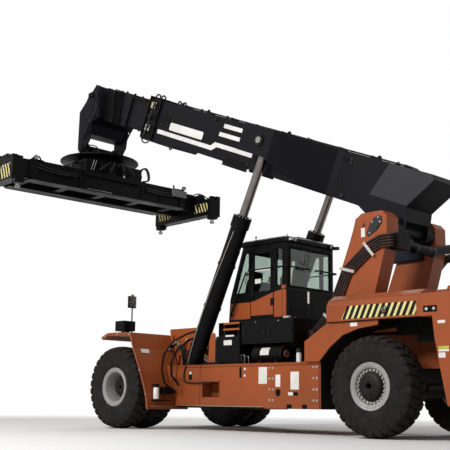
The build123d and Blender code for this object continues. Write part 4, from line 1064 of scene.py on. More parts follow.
class STACKER_OT_boom_fittings(bpy.types.Operator):
    """Covers, collar, lugs, pipes and pin caps of the outer boom"""
    bl_idname = "stacker.boom_fittings"
    bl_label = "Boom fittings"

    def execute(self, context):
        covers, places = Shape(), []
        for x0, x1, z0, z1 in SIDE_COVERS:
            covers.plate(rounded((x0, x1), (z0, z1), 20, 2), (BOOM_HALF - 3, BOOM_HALF + 9))
            places += corner_bolts((x0, x1), (z0, z1), BOOM_HALF + 9)
        covers.bar((1398, BOOM_HALF - 4, 301), (1398, BOOM_HALF + 14, 301), 62, 28)
        covers.bar((5423, BOOM_HALF - 4, 1043), (5423, BOOM_HALF + 24, 1043), 34, 20)
        make("boom_covers", covers.mirror(), "black", "boom", 3)
        make("boom_port_plugs", Shape().bar((1398, BOOM_HALF + 13, 301), (1398, BOOM_HALF + 17, 301), 42,
            24).mirror(), "plastic", "boom")
        places.append(((5423, BOOM_HALF + 24, 1043), Y))
        places += [((LIFT_PIN[0] + 92 * c, 1424, LIFT_PIN[1] + 92 * s), Y) for c, s in circle(1, 8, 0.39)]
        bolts("boom_bolts", places, "pipe", 26, 12, both=True, body="boom")
        collar = Shape()
        for x in (7440, 7862):
            collar.block((x, x + 32), (BOOM_HALF, BOOM_HALF + 46), (150, 1176))
        for z in (210, 640, 1010):
            collar.block((7500, 7840), (BOOM_HALF - 2, BOOM_HALF + 34), (z, z + 90))
        collar.mirror()
        for x in (7440, 7862):
            collar.block((x, x + 32), (-BOOM_HALF, BOOM_HALF), (1130, 1176))
        pads = Shape()
        for z in (340, 890):
            pads.block((7630, 7800), (BOOM_HALF + 2, BOOM_HALF + 40), (z, z + 150))
        make("boom_pad_keepers", pads.mirror(), "zinc", "boom", 6)
        for y in (-330, -60, 210):
            collar.block((7500, 7840), (y, y + 120), (1128, 1166))
        make("boom_collar", collar, "black", "boom", 3)
        places = [((x, BOOM_HALF + 34, z + 45), Y) for z in (210, 640, 1010) for x in (7550, 7670, 7790)]
        bolts("boom_collar_bolts", places, "black", 30, 16, both=True, body="boom")
        lugs = Shape()
        for x in (6840, 5900, 3300, 900):
            for y in (-300, 300):
                lugs.plate([(x - 70, 1128), (x + 70, 1128), (x + 40, 1190), (x + 15, 1212), (x - 15, 1212),
                    (x - 40, 1190)], (y - 12, y + 12))
        for y in (-445, 425):
            lugs.block((1560, 3960), (y, y + 20), (1112, 1142))
        make("boom_lugs", lugs, "charcoal", "boom", 3)
        pipes = Shape()
        for y in (-170, -120, -70, -20):
            pipes.hose([(260, y, 1100), (300, y, 1165), (520, y, 1168), (4000, y, 1168), (7200, y, 1168),
                (7330, y, 1168), (7400, y, 1150)], 15)
        make("boom_pipes", pipes, "pipe", "boom")
        seed = Shape().block((0, 46), (-205, 15), (1130, 1188))
        clamps = grown(seed, "row", "plastic", Count=9, Step=(820.0, 0.0, 0.0))
        placed("boom_pipe_clamps", settled(clamps, moved(480, 0, 0, BOOM)), "boom", 4)
        loops = Shape()
        for start, end in ((1010, 700), (960, 420), (640, 300)):
            y = BOOM_HALF + 40
            loops.hose([(7660, y, start), (7600, y + 70, start - 40), (7590, y + 80, (start + end) / 2),
                (7640, y + 70, end + 30), (7720, y, end)], 20)
        loops.hose([(7720, 460, 300), (7760, 500, 200), (7740, 470, 60), (7700, 380, 40), (7660, 330, 110)],
            18)
        for x in (7560, 7760):
            loops.hose([(x - 70, 330, 1160), (x - 60, 330, 1230), (x, 340, 1250), (x + 60, 350, 1225),
                (x + 70, 350, 1160)], 20)
        make("boom_collar_hoses", loops.mirror(), "rubber", "boom")
        ends = Shape()
        for x, z in ((7660, 1010), (7660, 960), (7660, 640), (7720, 700), (7720, 420), (7720, 300)):
            ends.bar((x, 440, z), (x, 492, z), 25, 6)
        make("boom_collar_fittings", ends.mirror(), "pipe", "boom")
        x, z = LIFT_PIN
        make_pair("lift_pin_caps", Shape().bar((x, 1415, z), (x, 1440, z), 66, 28), "steel", BOOM,
            ("boom", "boom"), 3)
        return {"FINISHED"}


class STACKER_OT_inner_boom(bpy.types.Operator):
    """Lugs, pipes and wear strips of the inner boom"""
    bl_idname = "stacker.inner_boom"
    bl_label = "Inner boom fittings"

    def execute(self, context):
        lugs = Shape()
        for x in (8800, 9140):
            for y in (-250, 250):
                lugs.plate([(x - 60, 1048), (x + 60, 1048), (x + 34, 1110), (x + 12, 1130), (x - 12, 1130),
                    (x - 34, 1110)], (y - 12, y + 12))
        lugs.block((8590, 8650), (-420, 420), (1062, 1082))
        lugs.block((8100, 8640), (395, 418), (1000, 1040)).block((8100, 8640), (-418, -395), (1000, 1040))
        make("inner_boom_lugs", lugs, "charcoal", "inner_boom", 3)
        pipes = Shape()
        for y in (-120, -70, -20, 30):
            pipes.hose([(8150, y, 1062), (8260, y, 1066), (9000, y, 1086), (9500, y, 1090),
                (9640, y, 1070)], 14)
        make("inner_boom_pipes", pipes, "pipe", "inner_boom")
        return {"FINISHED"}


class STACKER_OT_boom_head(bpy.types.Operator):
    """Pin caps, black plates of painted shade on the neck, hoses, pipes and work lamps of the boom head"""
    bl_idname = "stacker.boom_head"
    bl_label = "Boom head fittings"

    def execute(self, context):
        caps, riders = Shape(), ("inner_boom", "inner_boom")
        caps.bar((0, 596, HEAD_PIN), (0, 618, HEAD_PIN), 118, 36).bar((0, 618, HEAD_PIN),
            (0, 634, HEAD_PIN), 70, 30)
        caps.plate([(-300, 8330), (20, 7870), (60, 7620), (-120, 7560), (-420, 7800), (-560, 8330)],
            (598, 608))
        caps.block((-470, -300), (598, 660), (8180, 8290))
        make_pair("head_caps", caps, "charcoal", HEAD, riders, 4)
        places = [((94 * c, 617, HEAD_PIN + 94 * s), Y) for c, s in circle(1, 8)]
        places += [((x, 607, z), Y) for x, z in ((-320, 8250), (0, 7800), (-120, 7640), (-400, 7880),
            (-520, 8260))]
        bolts("head_bolts", places, "black", 24, 12, both=True, body="inner_boom", at=HEAD)
        # painted shade: black plates on the neck's sides, where the neck lies in shade behind its hoses
        make("neck_guards", Shape().plate([(9700, 300), (9700, 1040), (9230, 1040), (9030, 300)],
            (420, 428)).mirror(), "black", "inner_boom", 3)
        curtain = Shape()
        for top, foot in ((9080, 8880), (9170, 8960), (9270, 9050), (9380, 9160)):
            curtain.hose([(top + 10, 400, 1090), (top, 446, 1080), (top - 20, 452, 1000),
                ((top + foot) / 2, 452, 660), (foot + 10, 452, 340), (foot, 440, 262),
                (foot - 10, 400, 250)], 20, 5)
        make("neck_hoses", curtain.mirror(), "gasket", "inner_boom")
        pipe = Shape()
        for shift in (0, 46):
            pipe.hose([(-660 + shift, 618, 8330 - shift), (-665 + shift, 640, 8250),
                (-668 + shift, 640, 8000), (-655 + shift, 640, 7700), (-500 + shift, 640, 7560),
                (-380 + shift, 640, 7440), (-250 + shift, 640, 7260), (-170 + shift, 640, 7100)], 13)
        make_pair("head_pipes", pipe, "black", HEAD, riders)
        clips = Shape()
        for x, z in ((-645, 8200), (-645, 7900), (-440, 7535), (-250, 7290)):
            clips.block((x - 30, x + 50), (598, 654), (z - 18, z + 18))
        make_pair("head_pipe_clips", clips, "plastic", HEAD, riders, 3)
        lamp, lens = Shape(), Shape()
        lamp.block((-690, -560), (-300, -160), (8360, 8440)).block((-690, -560), (160, 300), (8360, 8440))
        for y in (-230, 230):
            lamp.turned([(0, 30), (10, 60), (70, 70), (76, 62), (60, 56)], (-640, y, 8290), (-0.35, 0, -1),
                24)
            lens.turned([(62, 60), (68, 40), (70, 4)], (-640, y, 8290), (-0.35, 0, -1), 24)
        make("head_lamps", lamp, "plastic", "inner_boom", 3, at=HEAD)
        make("head_lamp_lenses", lens, "clear_lens", "inner_boom", at=HEAD)
        return {"FINISHED"}


# ---- lift cylinders ----
class STACKER_OT_cylinders(bpy.types.Operator):
    """Bands, pipes, gland bolts, wipers and rod shoulders of the lift cylinders"""
    bl_idname = "stacker.cylinders"
    bl_label = "Lift cylinder fittings"

    def execute(self, context):
        bodies = ("barrel_left", "barrel_right")
        bands = Shape()
        for z in (640, 1500, 2400):
            bands.turned([(0, 166), (0, 182), (60, 182), (60, 166)], (0, 0, z), Z, 40)
            bands.block((-34, 34), (-207, -166), (z + 4, z + 56))
        bands.turned([(0, 166), (0, 188), (38, 191), (44, 188), (44, 166)], (0, 0, 3212), Z, 40)
        bands.block((-40, 40), (-209, -160), (2660, 2740)).block((-46, 46), (-209, -160), (300, 410))
        make_pair("barrel_bands", bands, "black", CYLINDER, bodies, 3)
        make_pair("barrel_pipes", Shape().hose([(0, -191, 360), (0, -191, 700), (0, -191, 1600),
            (0, -191, 2690)], 15), "pipe", CYLINDER, bodies)
        make_pair("return_pipes", Shape().hose([(-30, 172, 280), (-16, 190, 420), (0, 192, 700),
            (28, 190, 1250), (10, 190, 1900), (-40, 186, 2700), (-60, 170, 3140)], 13), "steel", CYLINDER,
            bodies)
        seed = Shape().bar((0, -8, 165), (0, 14, 165), 13, 6)
        ring = grown(seed, "ring", "zinc", Count=16)
        upright = moved(0, 0, 3450, CYLINDER) @ Matrix.Rotation(math.radians(90), 4, "X")
        settle_pair("gland_bolts", ring, upright, bodies)
        make_pair("rod_wipers", Shape().turned([(0, 90), (0, 118), (14, 112), (22, 96), (22, 90)],
            (0, 0, 3449), Z, 40, True), "gasket", CYLINDER, bodies)
        make_pair("rod_shoulders", Shape().turned([(0, 89), (0, 128), (30, 134), (52, 118), (52, 89)],
            (0, 0, CYLINDER_LENGTH - 205), Z, 40, True), "black", CYLINDER, ("rod_left", "rod_right"), 2)
        return {"FINISHED"}


# ---- boom towers and rear decks ----
TOWER_Y = 950
SIDE_Y = 1400
DECK_Y = 1500


class STACKER_OT_towers(bpy.types.Operator):
    """Pivot covers, labels, knobs, hose clamps, valve box, gussets and welds of the towers"""
    bl_idname = "stacker.towers"
    bl_label = "Boom towers"

    # outline of a pivot cover
    COVER = [(-5890, 3800), (-5955, 3770), (-5960, 3665), (-5850, 3540), (-5655, 3445), (-5625, 3500),
        (-5715, 3690), (-5790, 3770)]
    # place of each clamp along the machine, its height and its slope in degrees
    CLAMPS = ((-4810, 2040, 52), (-5220, 2890, 74), (-5690, 3215, 40))

    def execute(self, context):
        cover = Shape().plate(self.COVER, (TOWER_Y - 4, TOWER_Y + 16))
        cover.bar((-5850, TOWER_Y + 14, 3620), (-5850, TOWER_Y + 30, 3620), 44, 28).mirror()
        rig.slot(make("pivot_covers", cover, "grey", bevel=4), "charcoal_paint")
        places = [((x, TOWER_Y + 16, z), Y) for x, z in ((-5885, 3765), (-5920, 3680), (-5700, 3505),
            (-5760, 3700))]
        bolts("pivot_cover_bolts", places, "steel", 24, 12, both=True)
        make("tower_labels", Shape().block((-5588, -5505), (TOWER_Y - 1, TOWER_Y + 2),
            (3452, 3615)).mirror(), "film")
        make("tower_knobs", Shape().turned([(0, 30), (8, 34), (22, 34), (30, 26), (44, 24), (48, 12),
            (48, 1)], (-5560, TOWER_Y - 2, 3675), Y, 24).mirror(), "terracotta")
        clamps = Shape()
        for x, z, slope in self.CLAMPS:
            turn = math.radians(slope)
            along, over = (-math.cos(turn), math.sin(turn)), (math.sin(turn), math.cos(turn))
            corners = [(x + a * along[0] + b * over[0], z + a * along[1] + b * over[1])
                for a, b in ((-26, -165), (26, -165), (26, 165), (-26, 165))]
            clamps.plate(corners, (TOWER_Y + 44, TOWER_Y + 56))
            for b in (-150, 150):
                clamps.bar((x + b * over[0], TOWER_Y - 2, z + b * over[1]),
                    (x + b * over[0], TOWER_Y + 66, z + b * over[1]), 14, 12)
        make("tower_hose_clamps", clamps, "zinc", bevel=3)
        make("boom_pin_sleeves", Shape().turned([(-358, 91), (-358, 94), (358, 94), (358, 91)], PIVOT, Y,
            36, True), "cast")
        make("valve_box", Shape().block((-5790, -5100), (-604, -530), (3190, 3510)).block((-5770, -5120),
            (-524, -510), (3210, 3490)), "navy", bevel=6)
        make("tower_gussets", Shape().plate([(-5380, 2390), (-5330, 2390), (-4980, 2200), (-4900, 2090),
            (-4940, 2070), (-5030, 2160)], (600, 640)).mirror(), "terracotta", bevel=4)
        seam = Shape()
        seam.hose([(-6300, 952, 1790), (-6000, 952, 1790), (-5100, 952, 1790)], 7, 3)
        seam.hose([(-5400, 952, 3805), (-5330, 952, 3560), (-4850, 952, 2380), (-4180, 952, 1310)], 6, 3,
            order=2)
        make("tower_welds", seam.mirror(), "terracotta")
        sleeve = Shape()
        for x, z in ((-280, 3270), (280, 3270)):
            sleeve.turned([(-34, 84), (-34, 94), (34, 94), (34, 84)], (-6160, x, z), Y, 32, True)
        for y, z in ((575, 3345), (640, 3325)):
            sleeve.turned([(-20, 84), (-20, 95), (20, 95), (20, 84)], (-6160, y - 120, z - 10),
                (0, 1, -0.1), 32, True)
        make("sleeve_bands", sleeve, "plastic")
        return {"FINISHED"}


class STACKER_OT_decks(bpy.types.Operator):
    """Warning stripes, lamps, labels, black liners of painted shade in the arches, welds and tread plates of the rear
    decks
    """
    bl_idname = "stacker.decks"
    bl_label = "Rear decks"

    def execute(self, context):
        make("deck_stripes", Shape().plate([(-5472, 1962), (-6965, 1962), (-6965, 2180), (-5596, 2180)],
            (DECK_Y - 2, DECK_Y + 2)).mirror(), "side_stripes")
        make("deck_lamp_rims", Shape().turned([(-4, 66), (10, 68), (16, 60), (16, 52)],
            (-6350, DECK_Y, 2072), Y, 32).mirror(), "black")
        make("deck_lamps", Shape().turned([(8, 54), (20, 50), (26, 30), (28, 2)], (-6350, DECK_Y, 2072), Y,
            28).mirror(), "olive_lens")
        make("marker_trays", Shape().plate(rounded((-7343, -7092), (1986, 2088), 18, 3),
            (DECK_Y - 3, DECK_Y + 3)).mirror(), "gasket")
        markers = Shape()
        for at in (-7153, -7288):
            markers.turned([(0, 24), (6, 26), (12, 20), (14, 2)], (at, DECK_Y + 2, 2036), Y, 20)
        make("marker_lamps", markers.mirror(), "clear_lens")
        make("deck_labels", Shape().block((-5775, -5625), (1459, 1463), (1838, 1898)).mirror(), "film")
        # painted shade: black plates under the decks, in the wheel arches and under the towers, where the underbody
        # lies in shade
        liner = Shape().block((-6990, -5160), (953, 1494), (1918, 1932))
        liner.block((-7235, -6980), (480, 490), (1150, 1752)).block((-6990, -5040), (384, 396),
            (1150, 1752))
        liner.block((-7235, -6620), (953, 962), (1560, 1925)).block((-6630, -6220), (953, 962),
            (1690, 1925))
        liner.block((-4944, -4931), (905, 1394), (455, 1260))
        liner.block((-6298, -5048), (602, 948), (1748, 1759))
        liner.plate([(-5042, 1758), (-4952, 1272), (-4962, 1272), (-5052, 1752)], (602, 948))
        arch = [(-4950, 1264), (-5180, 1494), (-5460, 1694), (-5800, 1794), (-6204, 1834), (-6204, 1928)]
        liner.plate(arch + [(x - 6, z - 6) for x, z in reversed(arch)], (953, 1450)).mirror()
        make("arch_liners", liner, "underseal")
        edge = Shape()
        edge.hose([(-5180, 1502, 1936), (-6900, 1502, 1936), (-6990, 1502, 1936)], 8, 3, order=2)
        edge.hose([(-5160, 1444, 2300), (-6970, 1444, 2300), (-6985, 1444, 2300)], 7, 3, order=2)
        make("deck_welds", edge.mirror(), "terracotta")
        make("deck_treads", Shape().plate(rounded((-6880, -5640), (1000, 1240), 20, 3), (2389, 2395),
            "z").mirror(), "black", bevel=2)
        seed = Shape().block((-11, 11), (-4, 4), (2394, 2399))
        row = grown(seed, "row", "black", Count=26, Step=(46.0, 0.0, 0.0))
        rows = grown(smoothed(row), "row", "black", Count=6, Step=(0.0, 36.0, 0.0))
        settle_pair("deck_tread_bars", rows, moved(-6840, 1030, 0))
        return {"FINISHED"}


class STACKER_OT_hood(bpy.types.Operator):
    """Grilles and handles of the engine hood, and the exhaust shield"""
    bl_idname = "stacker.hood"
    bl_label = "Engine hood"

    def execute(self, context):
        frames, z = Shape(), (2448, 2464)
        for y in (-520, 60):
            frames.block((-7180, -6400), (y, y + 18), z).block((-7180, -6400), (y + 442, y + 460), z)
            frames.block((-7180, -7162), (y, y + 460), z).block((-6418, -6400), (y, y + 460), z)
        make("hood_grille_frames", frames, "black", bevel=3)
        slat = Shape().block((-4, 4), (-221, 221), (2449, 2460))
        slats = grown(slat, "row", "black", Count=24, Step=(31.0, 0.0, 0.0))
        for index, y in enumerate((-290, 290)):
            placed(f"hood_slats_{index + 1}", settled(slats, moved(-7146, y, 0)), "chassis")
        handles = Shape()
        for x in (-7050, -6520):
            handles.hose([(x, 594, 2330), (x, 640, 2330), (x + 120, 640, 2330), (x + 120, 594, 2330)], 9, 4)
        make("hood_handles", handles.mirror(), "black")
        shield = Shape()
        route = [(-5740, 3040), (-5960, 3250), (-6240, 3290)]
        for (xa, za), (xb, zb) in zip(route, route[1:]):
            steps = int(math.hypot(xb - xa, zb - za) / 26)
            for step in range(steps):
                t = step / steps
                at = (xa + (xb - xa) * t, -1070, za + (zb - za) * t)
                shield.turned([(-7, 64), (-4, 82), (4, 82), (7, 64)], at, (xb - xa, 0, zb - za), 24, True)
        make("exhaust_shield", shield, "heat")
        make("exhaust_lip", Shape().turned([(0, 60), (0, 74), (26, 76), (30, 70), (30, 58)],
            (-6216, -1070, 3287), (-1, 0, 0.14), 32, True), "heat")
        return {"FINISHED"}


class STACKER_OT_counterweight(bpy.types.Operator):
    """Tail lamps, labels, stripes, grille, lifting eyes and tow pin of the counterweight"""
    bl_idname = "stacker.counterweight"
    bl_label = "Counterweight"

    def execute(self, context):
        lamps, red, amber, clear = Shape(), Shape(), Shape(), Shape()
        lamps.block((-8116, -8096), (760, 1080), (1560, 1700))
        for y, lens in ((815, red), (915, amber), (1015, clear)):
            lens.turned([(0, 42), (8, 42), (14, 34), (17, 3)], (-8114, y, 1630), (-1, 0, 0), 24)
        make("tail_lamp_boxes", lamps.mirror(), "plastic", bevel=6)
        for name, shape, finish in (("red", red, "red_lens"), ("amber", amber, "amber_lens"),
                ("clear", clear, "clear_lens")):
            make(f"tail_lamps_{name}", shape.mirror(), finish)
        labels = Shape().block((-7535, -7350), (1499, 1503), (1365, 1445))
        labels.block((-7480, -7350), (1499, 1503), (1800, 1848)).mirror()
        green = Shape().block((-7535, -7350), (1500, 1504), (1395, 1448)).mirror()
        blank = Shape().plate(rounded((-7470, -7350), (1270, 1350), 12, 3), (1499, 1503)).mirror()
        make("counterweight_labels", labels, "film")
        make("counterweight_stickers", green, "sticker")
        make("counterweight_blanks", blank, "film")
        make("rear_plate", Shape().block((-8112, -8098), (-330, 330), (1960, 2080)), "film", bevel=3)
        stripes = Shape()
        for y in (-700, 430):
            stripes.block((-8104, -8099), (y, y + 270), (1240, 1440))
        make("rear_stripes", stripes, "rear_stripes")
        make("rear_grille_back", Shape().block((-8108, -8098), (-620, 620), (820, 1180)), "gasket", bevel=2)
        slat = Shape().block((-8124, -8104), (-600, 600), (840, 850))
        slats = grown(slat, "row", "black", Count=9, Step=(0.0, 0.0, 40.0))
        placed("rear_grille_slats", settled(slats, MACHINE), "chassis", 2)
        eyes = Shape()
        for x in (-7420, -7900):
            arch = [(x - 70, 1180, 2270), (x - 70, 1180, 2370), (x - 40, 1180, 2410), (x + 40, 1180, 2410),
                (x + 70, 1180, 2370), (x + 70, 1180, 2270)]
            eyes.hose(arch, 20, 5)
        make("lifting_eyes", eyes.mirror(), "terracotta")
        seam = Shape()
        seam.block((-7262, -7244), (960, 1496), (2288, 2292))
        seam.mirror()
        seam.block((-8000, -7990), (-1180, 1180), (2288, 2296))
        make("counterweight_seams", seam, "gasket")
        pin = Shape().bar((-8160, 0, 640), (-8160, 0, 900), 20, 20).bar((-8160, 0, 900), (-8160, 0, 925),
            44, 24)
        pin.hose([(-8160, 0, 925), (-8160, 0, 950), (-8130, 0, 965), (-8100, 0, 960)], 8, 4)
        make("tow_pin", pin, "steel", bevel=2)
        places = [((-8100, y, z), (-1, 0, 0)) for y in (-700, 700) for z in (860, 1140)]
        bolts("counterweight_bolts", places, "steel", 46, 24)
        return {"FINISHED"}


# ---- side panels ----
class STACKER_OT_side_panels(bpy.types.Operator):
    """Labels, painted shade in the slots, a painted shadow under the bottom strip, louvres, seams, bolts, hoses, steps
    and fillers of the side tanks
    """
    bl_idname = "stacker.side_panels"
    bl_label = "Side panels"

    # rectangles on the tanks' side: two limits along the machine, two heights
    LABELS = ((-3676, -3467, 892, 1198), (-4001, -3884, 838, 1056), (-4441, -4245, 790, 1104))
    # the slots' hollows, drawn as flat black plates of painted shade
    SLOTS = ((-3030, -2972, 1004, 1209), (-1664, -1571, 977, 1155), (-4270, -4150, 452, 530),
        (-4625, -4510, 452, 530), (-4418, -4310, 684, 746))
    SEAMS = (-1897, -4900)

    def execute(self, context):
        labels = Shape()
        for x0, x1, z0, z1 in self.LABELS:
            labels.plate(rounded((x0, x1), (z0, z1), 8, 2), (SIDE_Y - 1, SIDE_Y + 3))
        labels.block((-4300, -4190), (SIDE_Y - 1, SIDE_Y + 3), (688, 742))
        for z in (1047, 1169):
            labels.plate(rounded((-3136, -3088), (z - 22, z + 22), 18, 3), (SIDE_Y - 1, SIDE_Y + 3))
        labels.block((-1650, -1590), (SIDE_Y + 1, SIDE_Y + 5), (1090, 1140))
        make("side_labels", labels.mirror(), "film")
        # painted shade: flat black plates where the slots' hollows lie in shade
        slots = Shape()
        for x0, x1, z0, z1 in self.SLOTS:
            slots.plate(rounded((x0, x1), (z0, z1), 20, 3), (SIDE_Y - 2, SIDE_Y + 2))
        oval = [(-3946 + 58 * c, 733 + 66 * s) for c, s in circle(1, 24)]
        slots.plate(oval, (SIDE_Y - 2, SIDE_Y + 4))
        make("side_slots", slots.mirror(), "gasket")
        make("louvre_panels", Shape().plate(rounded((-1440, -1065), (664, 1062), 14, 2),
            (SIDE_Y - 2, SIDE_Y + 6)).mirror(), "terracotta", bevel=3)
        blade = Shape().plate([(0, 0), (16, -4), (14, -22), (0, -26)], (-165, 165), "x")
        blades = grown(blade, "row", "terracotta", Count=9, Step=(0.0, 0.0, 40.0))
        settle_pair("louvre_blades", blades, moved(-1252, SIDE_Y + 5, 710))
        seams = Shape()
        for x in self.SEAMS:
            seams.block((x - 5, x + 5), (SIDE_Y - 1, SIDE_Y + 1.2), (470, 1262))
        seams.block((-4930, -1200), (SIDE_Y - 1, SIDE_Y + 1.2), (1216, 1224))
        make("side_seams", seams.mirror(), "gasket")
        make("side_ledges", Shape().block((-4925, -1200), (SIDE_Y - 4, SIDE_Y + 10), (1252, 1270)).mirror(),
            "terracotta", bevel=4)
        places = [((x, SIDE_Y, z), Y) for x in (-3737, -3822, -4772, -4846) for z in (1177, 985, 790, 600)]
        bolts("side_bolts", places, "zinc", 26, 12, both=True)
        make("side_hoses", Shape().hose([(-1560, 1372, 1262), (-1545, 1384, 1340), (-1500, 1422, 1280),
            (-1446, 1424, 1110), (-1446, 1424, 950), (-1600, 1424, 918), (-2100, 1424, 912),
            (-2180, 1400, 912)], 15).mirror(), "rubber")
        make("side_clips", Shape().block((-1142, -1104), (SIDE_Y - 2, SIDE_Y + 14), (1010, 1110)).mirror(),
            "zinc", bevel=3)
        strip = Shape().block((-3600, -1190), (SIDE_Y, SIDE_Y + 26), (472, 482))
        strip.block((-1156, -1126), (SIDE_Y, 2060), (452, 462))
        make("side_strips", strip.mirror(), "zinc", bevel=2)
        # painted shadow: a black strip under the bottom steel strip, where the strip casts its shadow
        make("side_skirts", Shape().block((-3600, -1240), (SIDE_Y - 60, SIDE_Y + 8), (438, 471)).mirror(),
            "gasket", bevel=2)
        tread = Shape()
        for z in (672, 930):
            tread.block((-2440, -1970), (SIDE_Y - 120, SIDE_Y + 12), (z - 20, z - 8))
        make("step_treads", tread.mirror(), "black", bevel=3)
        rim = Shape()
        for x in ((-2462, -2440), (-1970, -1948)):
            rim.block(x, (SIDE_Y - 2, SIDE_Y + 8), (640, 960))
        rim.block((-2462, -1948), (SIDE_Y - 2, SIDE_Y + 8), (940, 960)).mirror()
        make("step_rims", rim, "terracotta", bevel=3)
        make("filler_necks", Shape().bar((-4625, 1300, 1268), (-4625, 1300, 1440), 40, 28).mirror(),
            "white", bevel=3)
        make("filler_caps", Shape().turned([(0, 52), (10, 58), (66, 58), (76, 46), (76, 2)],
            (-4625, 1300, 1436), Z, 32).mirror(), "plastic", bevel=3)
        return {"FINISHED"}


# ---- cab ----
CAB_Y = 720
WINDSCREEN = ((-2075, 2600), (-2378, 3540))
# window openings as (x, z) outlines on the cab's sides: door, front quarter, rear quarter, right side
DOOR_WINDOW = [(-3150, 2700), (-2670, 2700), (-2670, 3490), (-3150, 3490)]
QUARTER = [(-2560, 2700), (-2150, 2700), (-2440, 3540), (-2560, 3540)]
REAR_QUARTER = [(-3460, 2780), (-3280, 2780), (-3280, 3540), (-3460, 3540)]
RIGHT_WINDOW = [(-3220, 2700), (-2620, 2700), (-2620, 3540), (-3220, 3540)]


def grown_outline(outline, by):
    """An outline moved outwards, or inwards for a negative distance, square to its edges."""
    middle = Vector((sum(p[0] for p in outline), sum(p[1] for p in outline))) / len(outline)
    moved = []
    for before, corner, after in zip(outline[-1:] + outline[:-1], outline, outline[1:] + outline[:1]):
        a, b, c = Vector(before), Vector(corner), Vector(after)
        normals = []
        for edge in ((b - a), (c - b)):
            normal = Vector((edge.y, -edge.x)).normalized()
            normals.append(normal if normal.dot(b - middle) > 0 else -normal)
        mean = (normals[0] + normals[1]).normalized()
        moved.append(tuple(b + mean * by / max(mean.dot(normals[0]), 0.3)))
    return moved


def seal(shape, outline, span):
    """A rubber frame round a window, from 26 mm outside its opening to 16 mm over the glass."""
    outer, inner = grown_outline(outline, 26), grown_outline(outline, -16)
    low, high = span
    rings = [[(x, y, z) for x, z in ring] for ring, y in ((outer, low), (outer, high), (inner, high),
        (inner, low))]
    return shape.skin(rings, closed=True)


def lamp_body(body, lens, at, facing, radius, depth):
    """A round work lamp: its housing and its lens."""
    body.turned([(-depth, radius * 0.45), (-depth + 14, radius * 0.8), (0, radius), (8, radius),
        (8, radius * 0.9), (2, radius * 0.88)], at, facing, 28)
    lens.turned([(1, radius * 0.9), (6, radius * 0.6), (8, 3)], at, facing, 28)


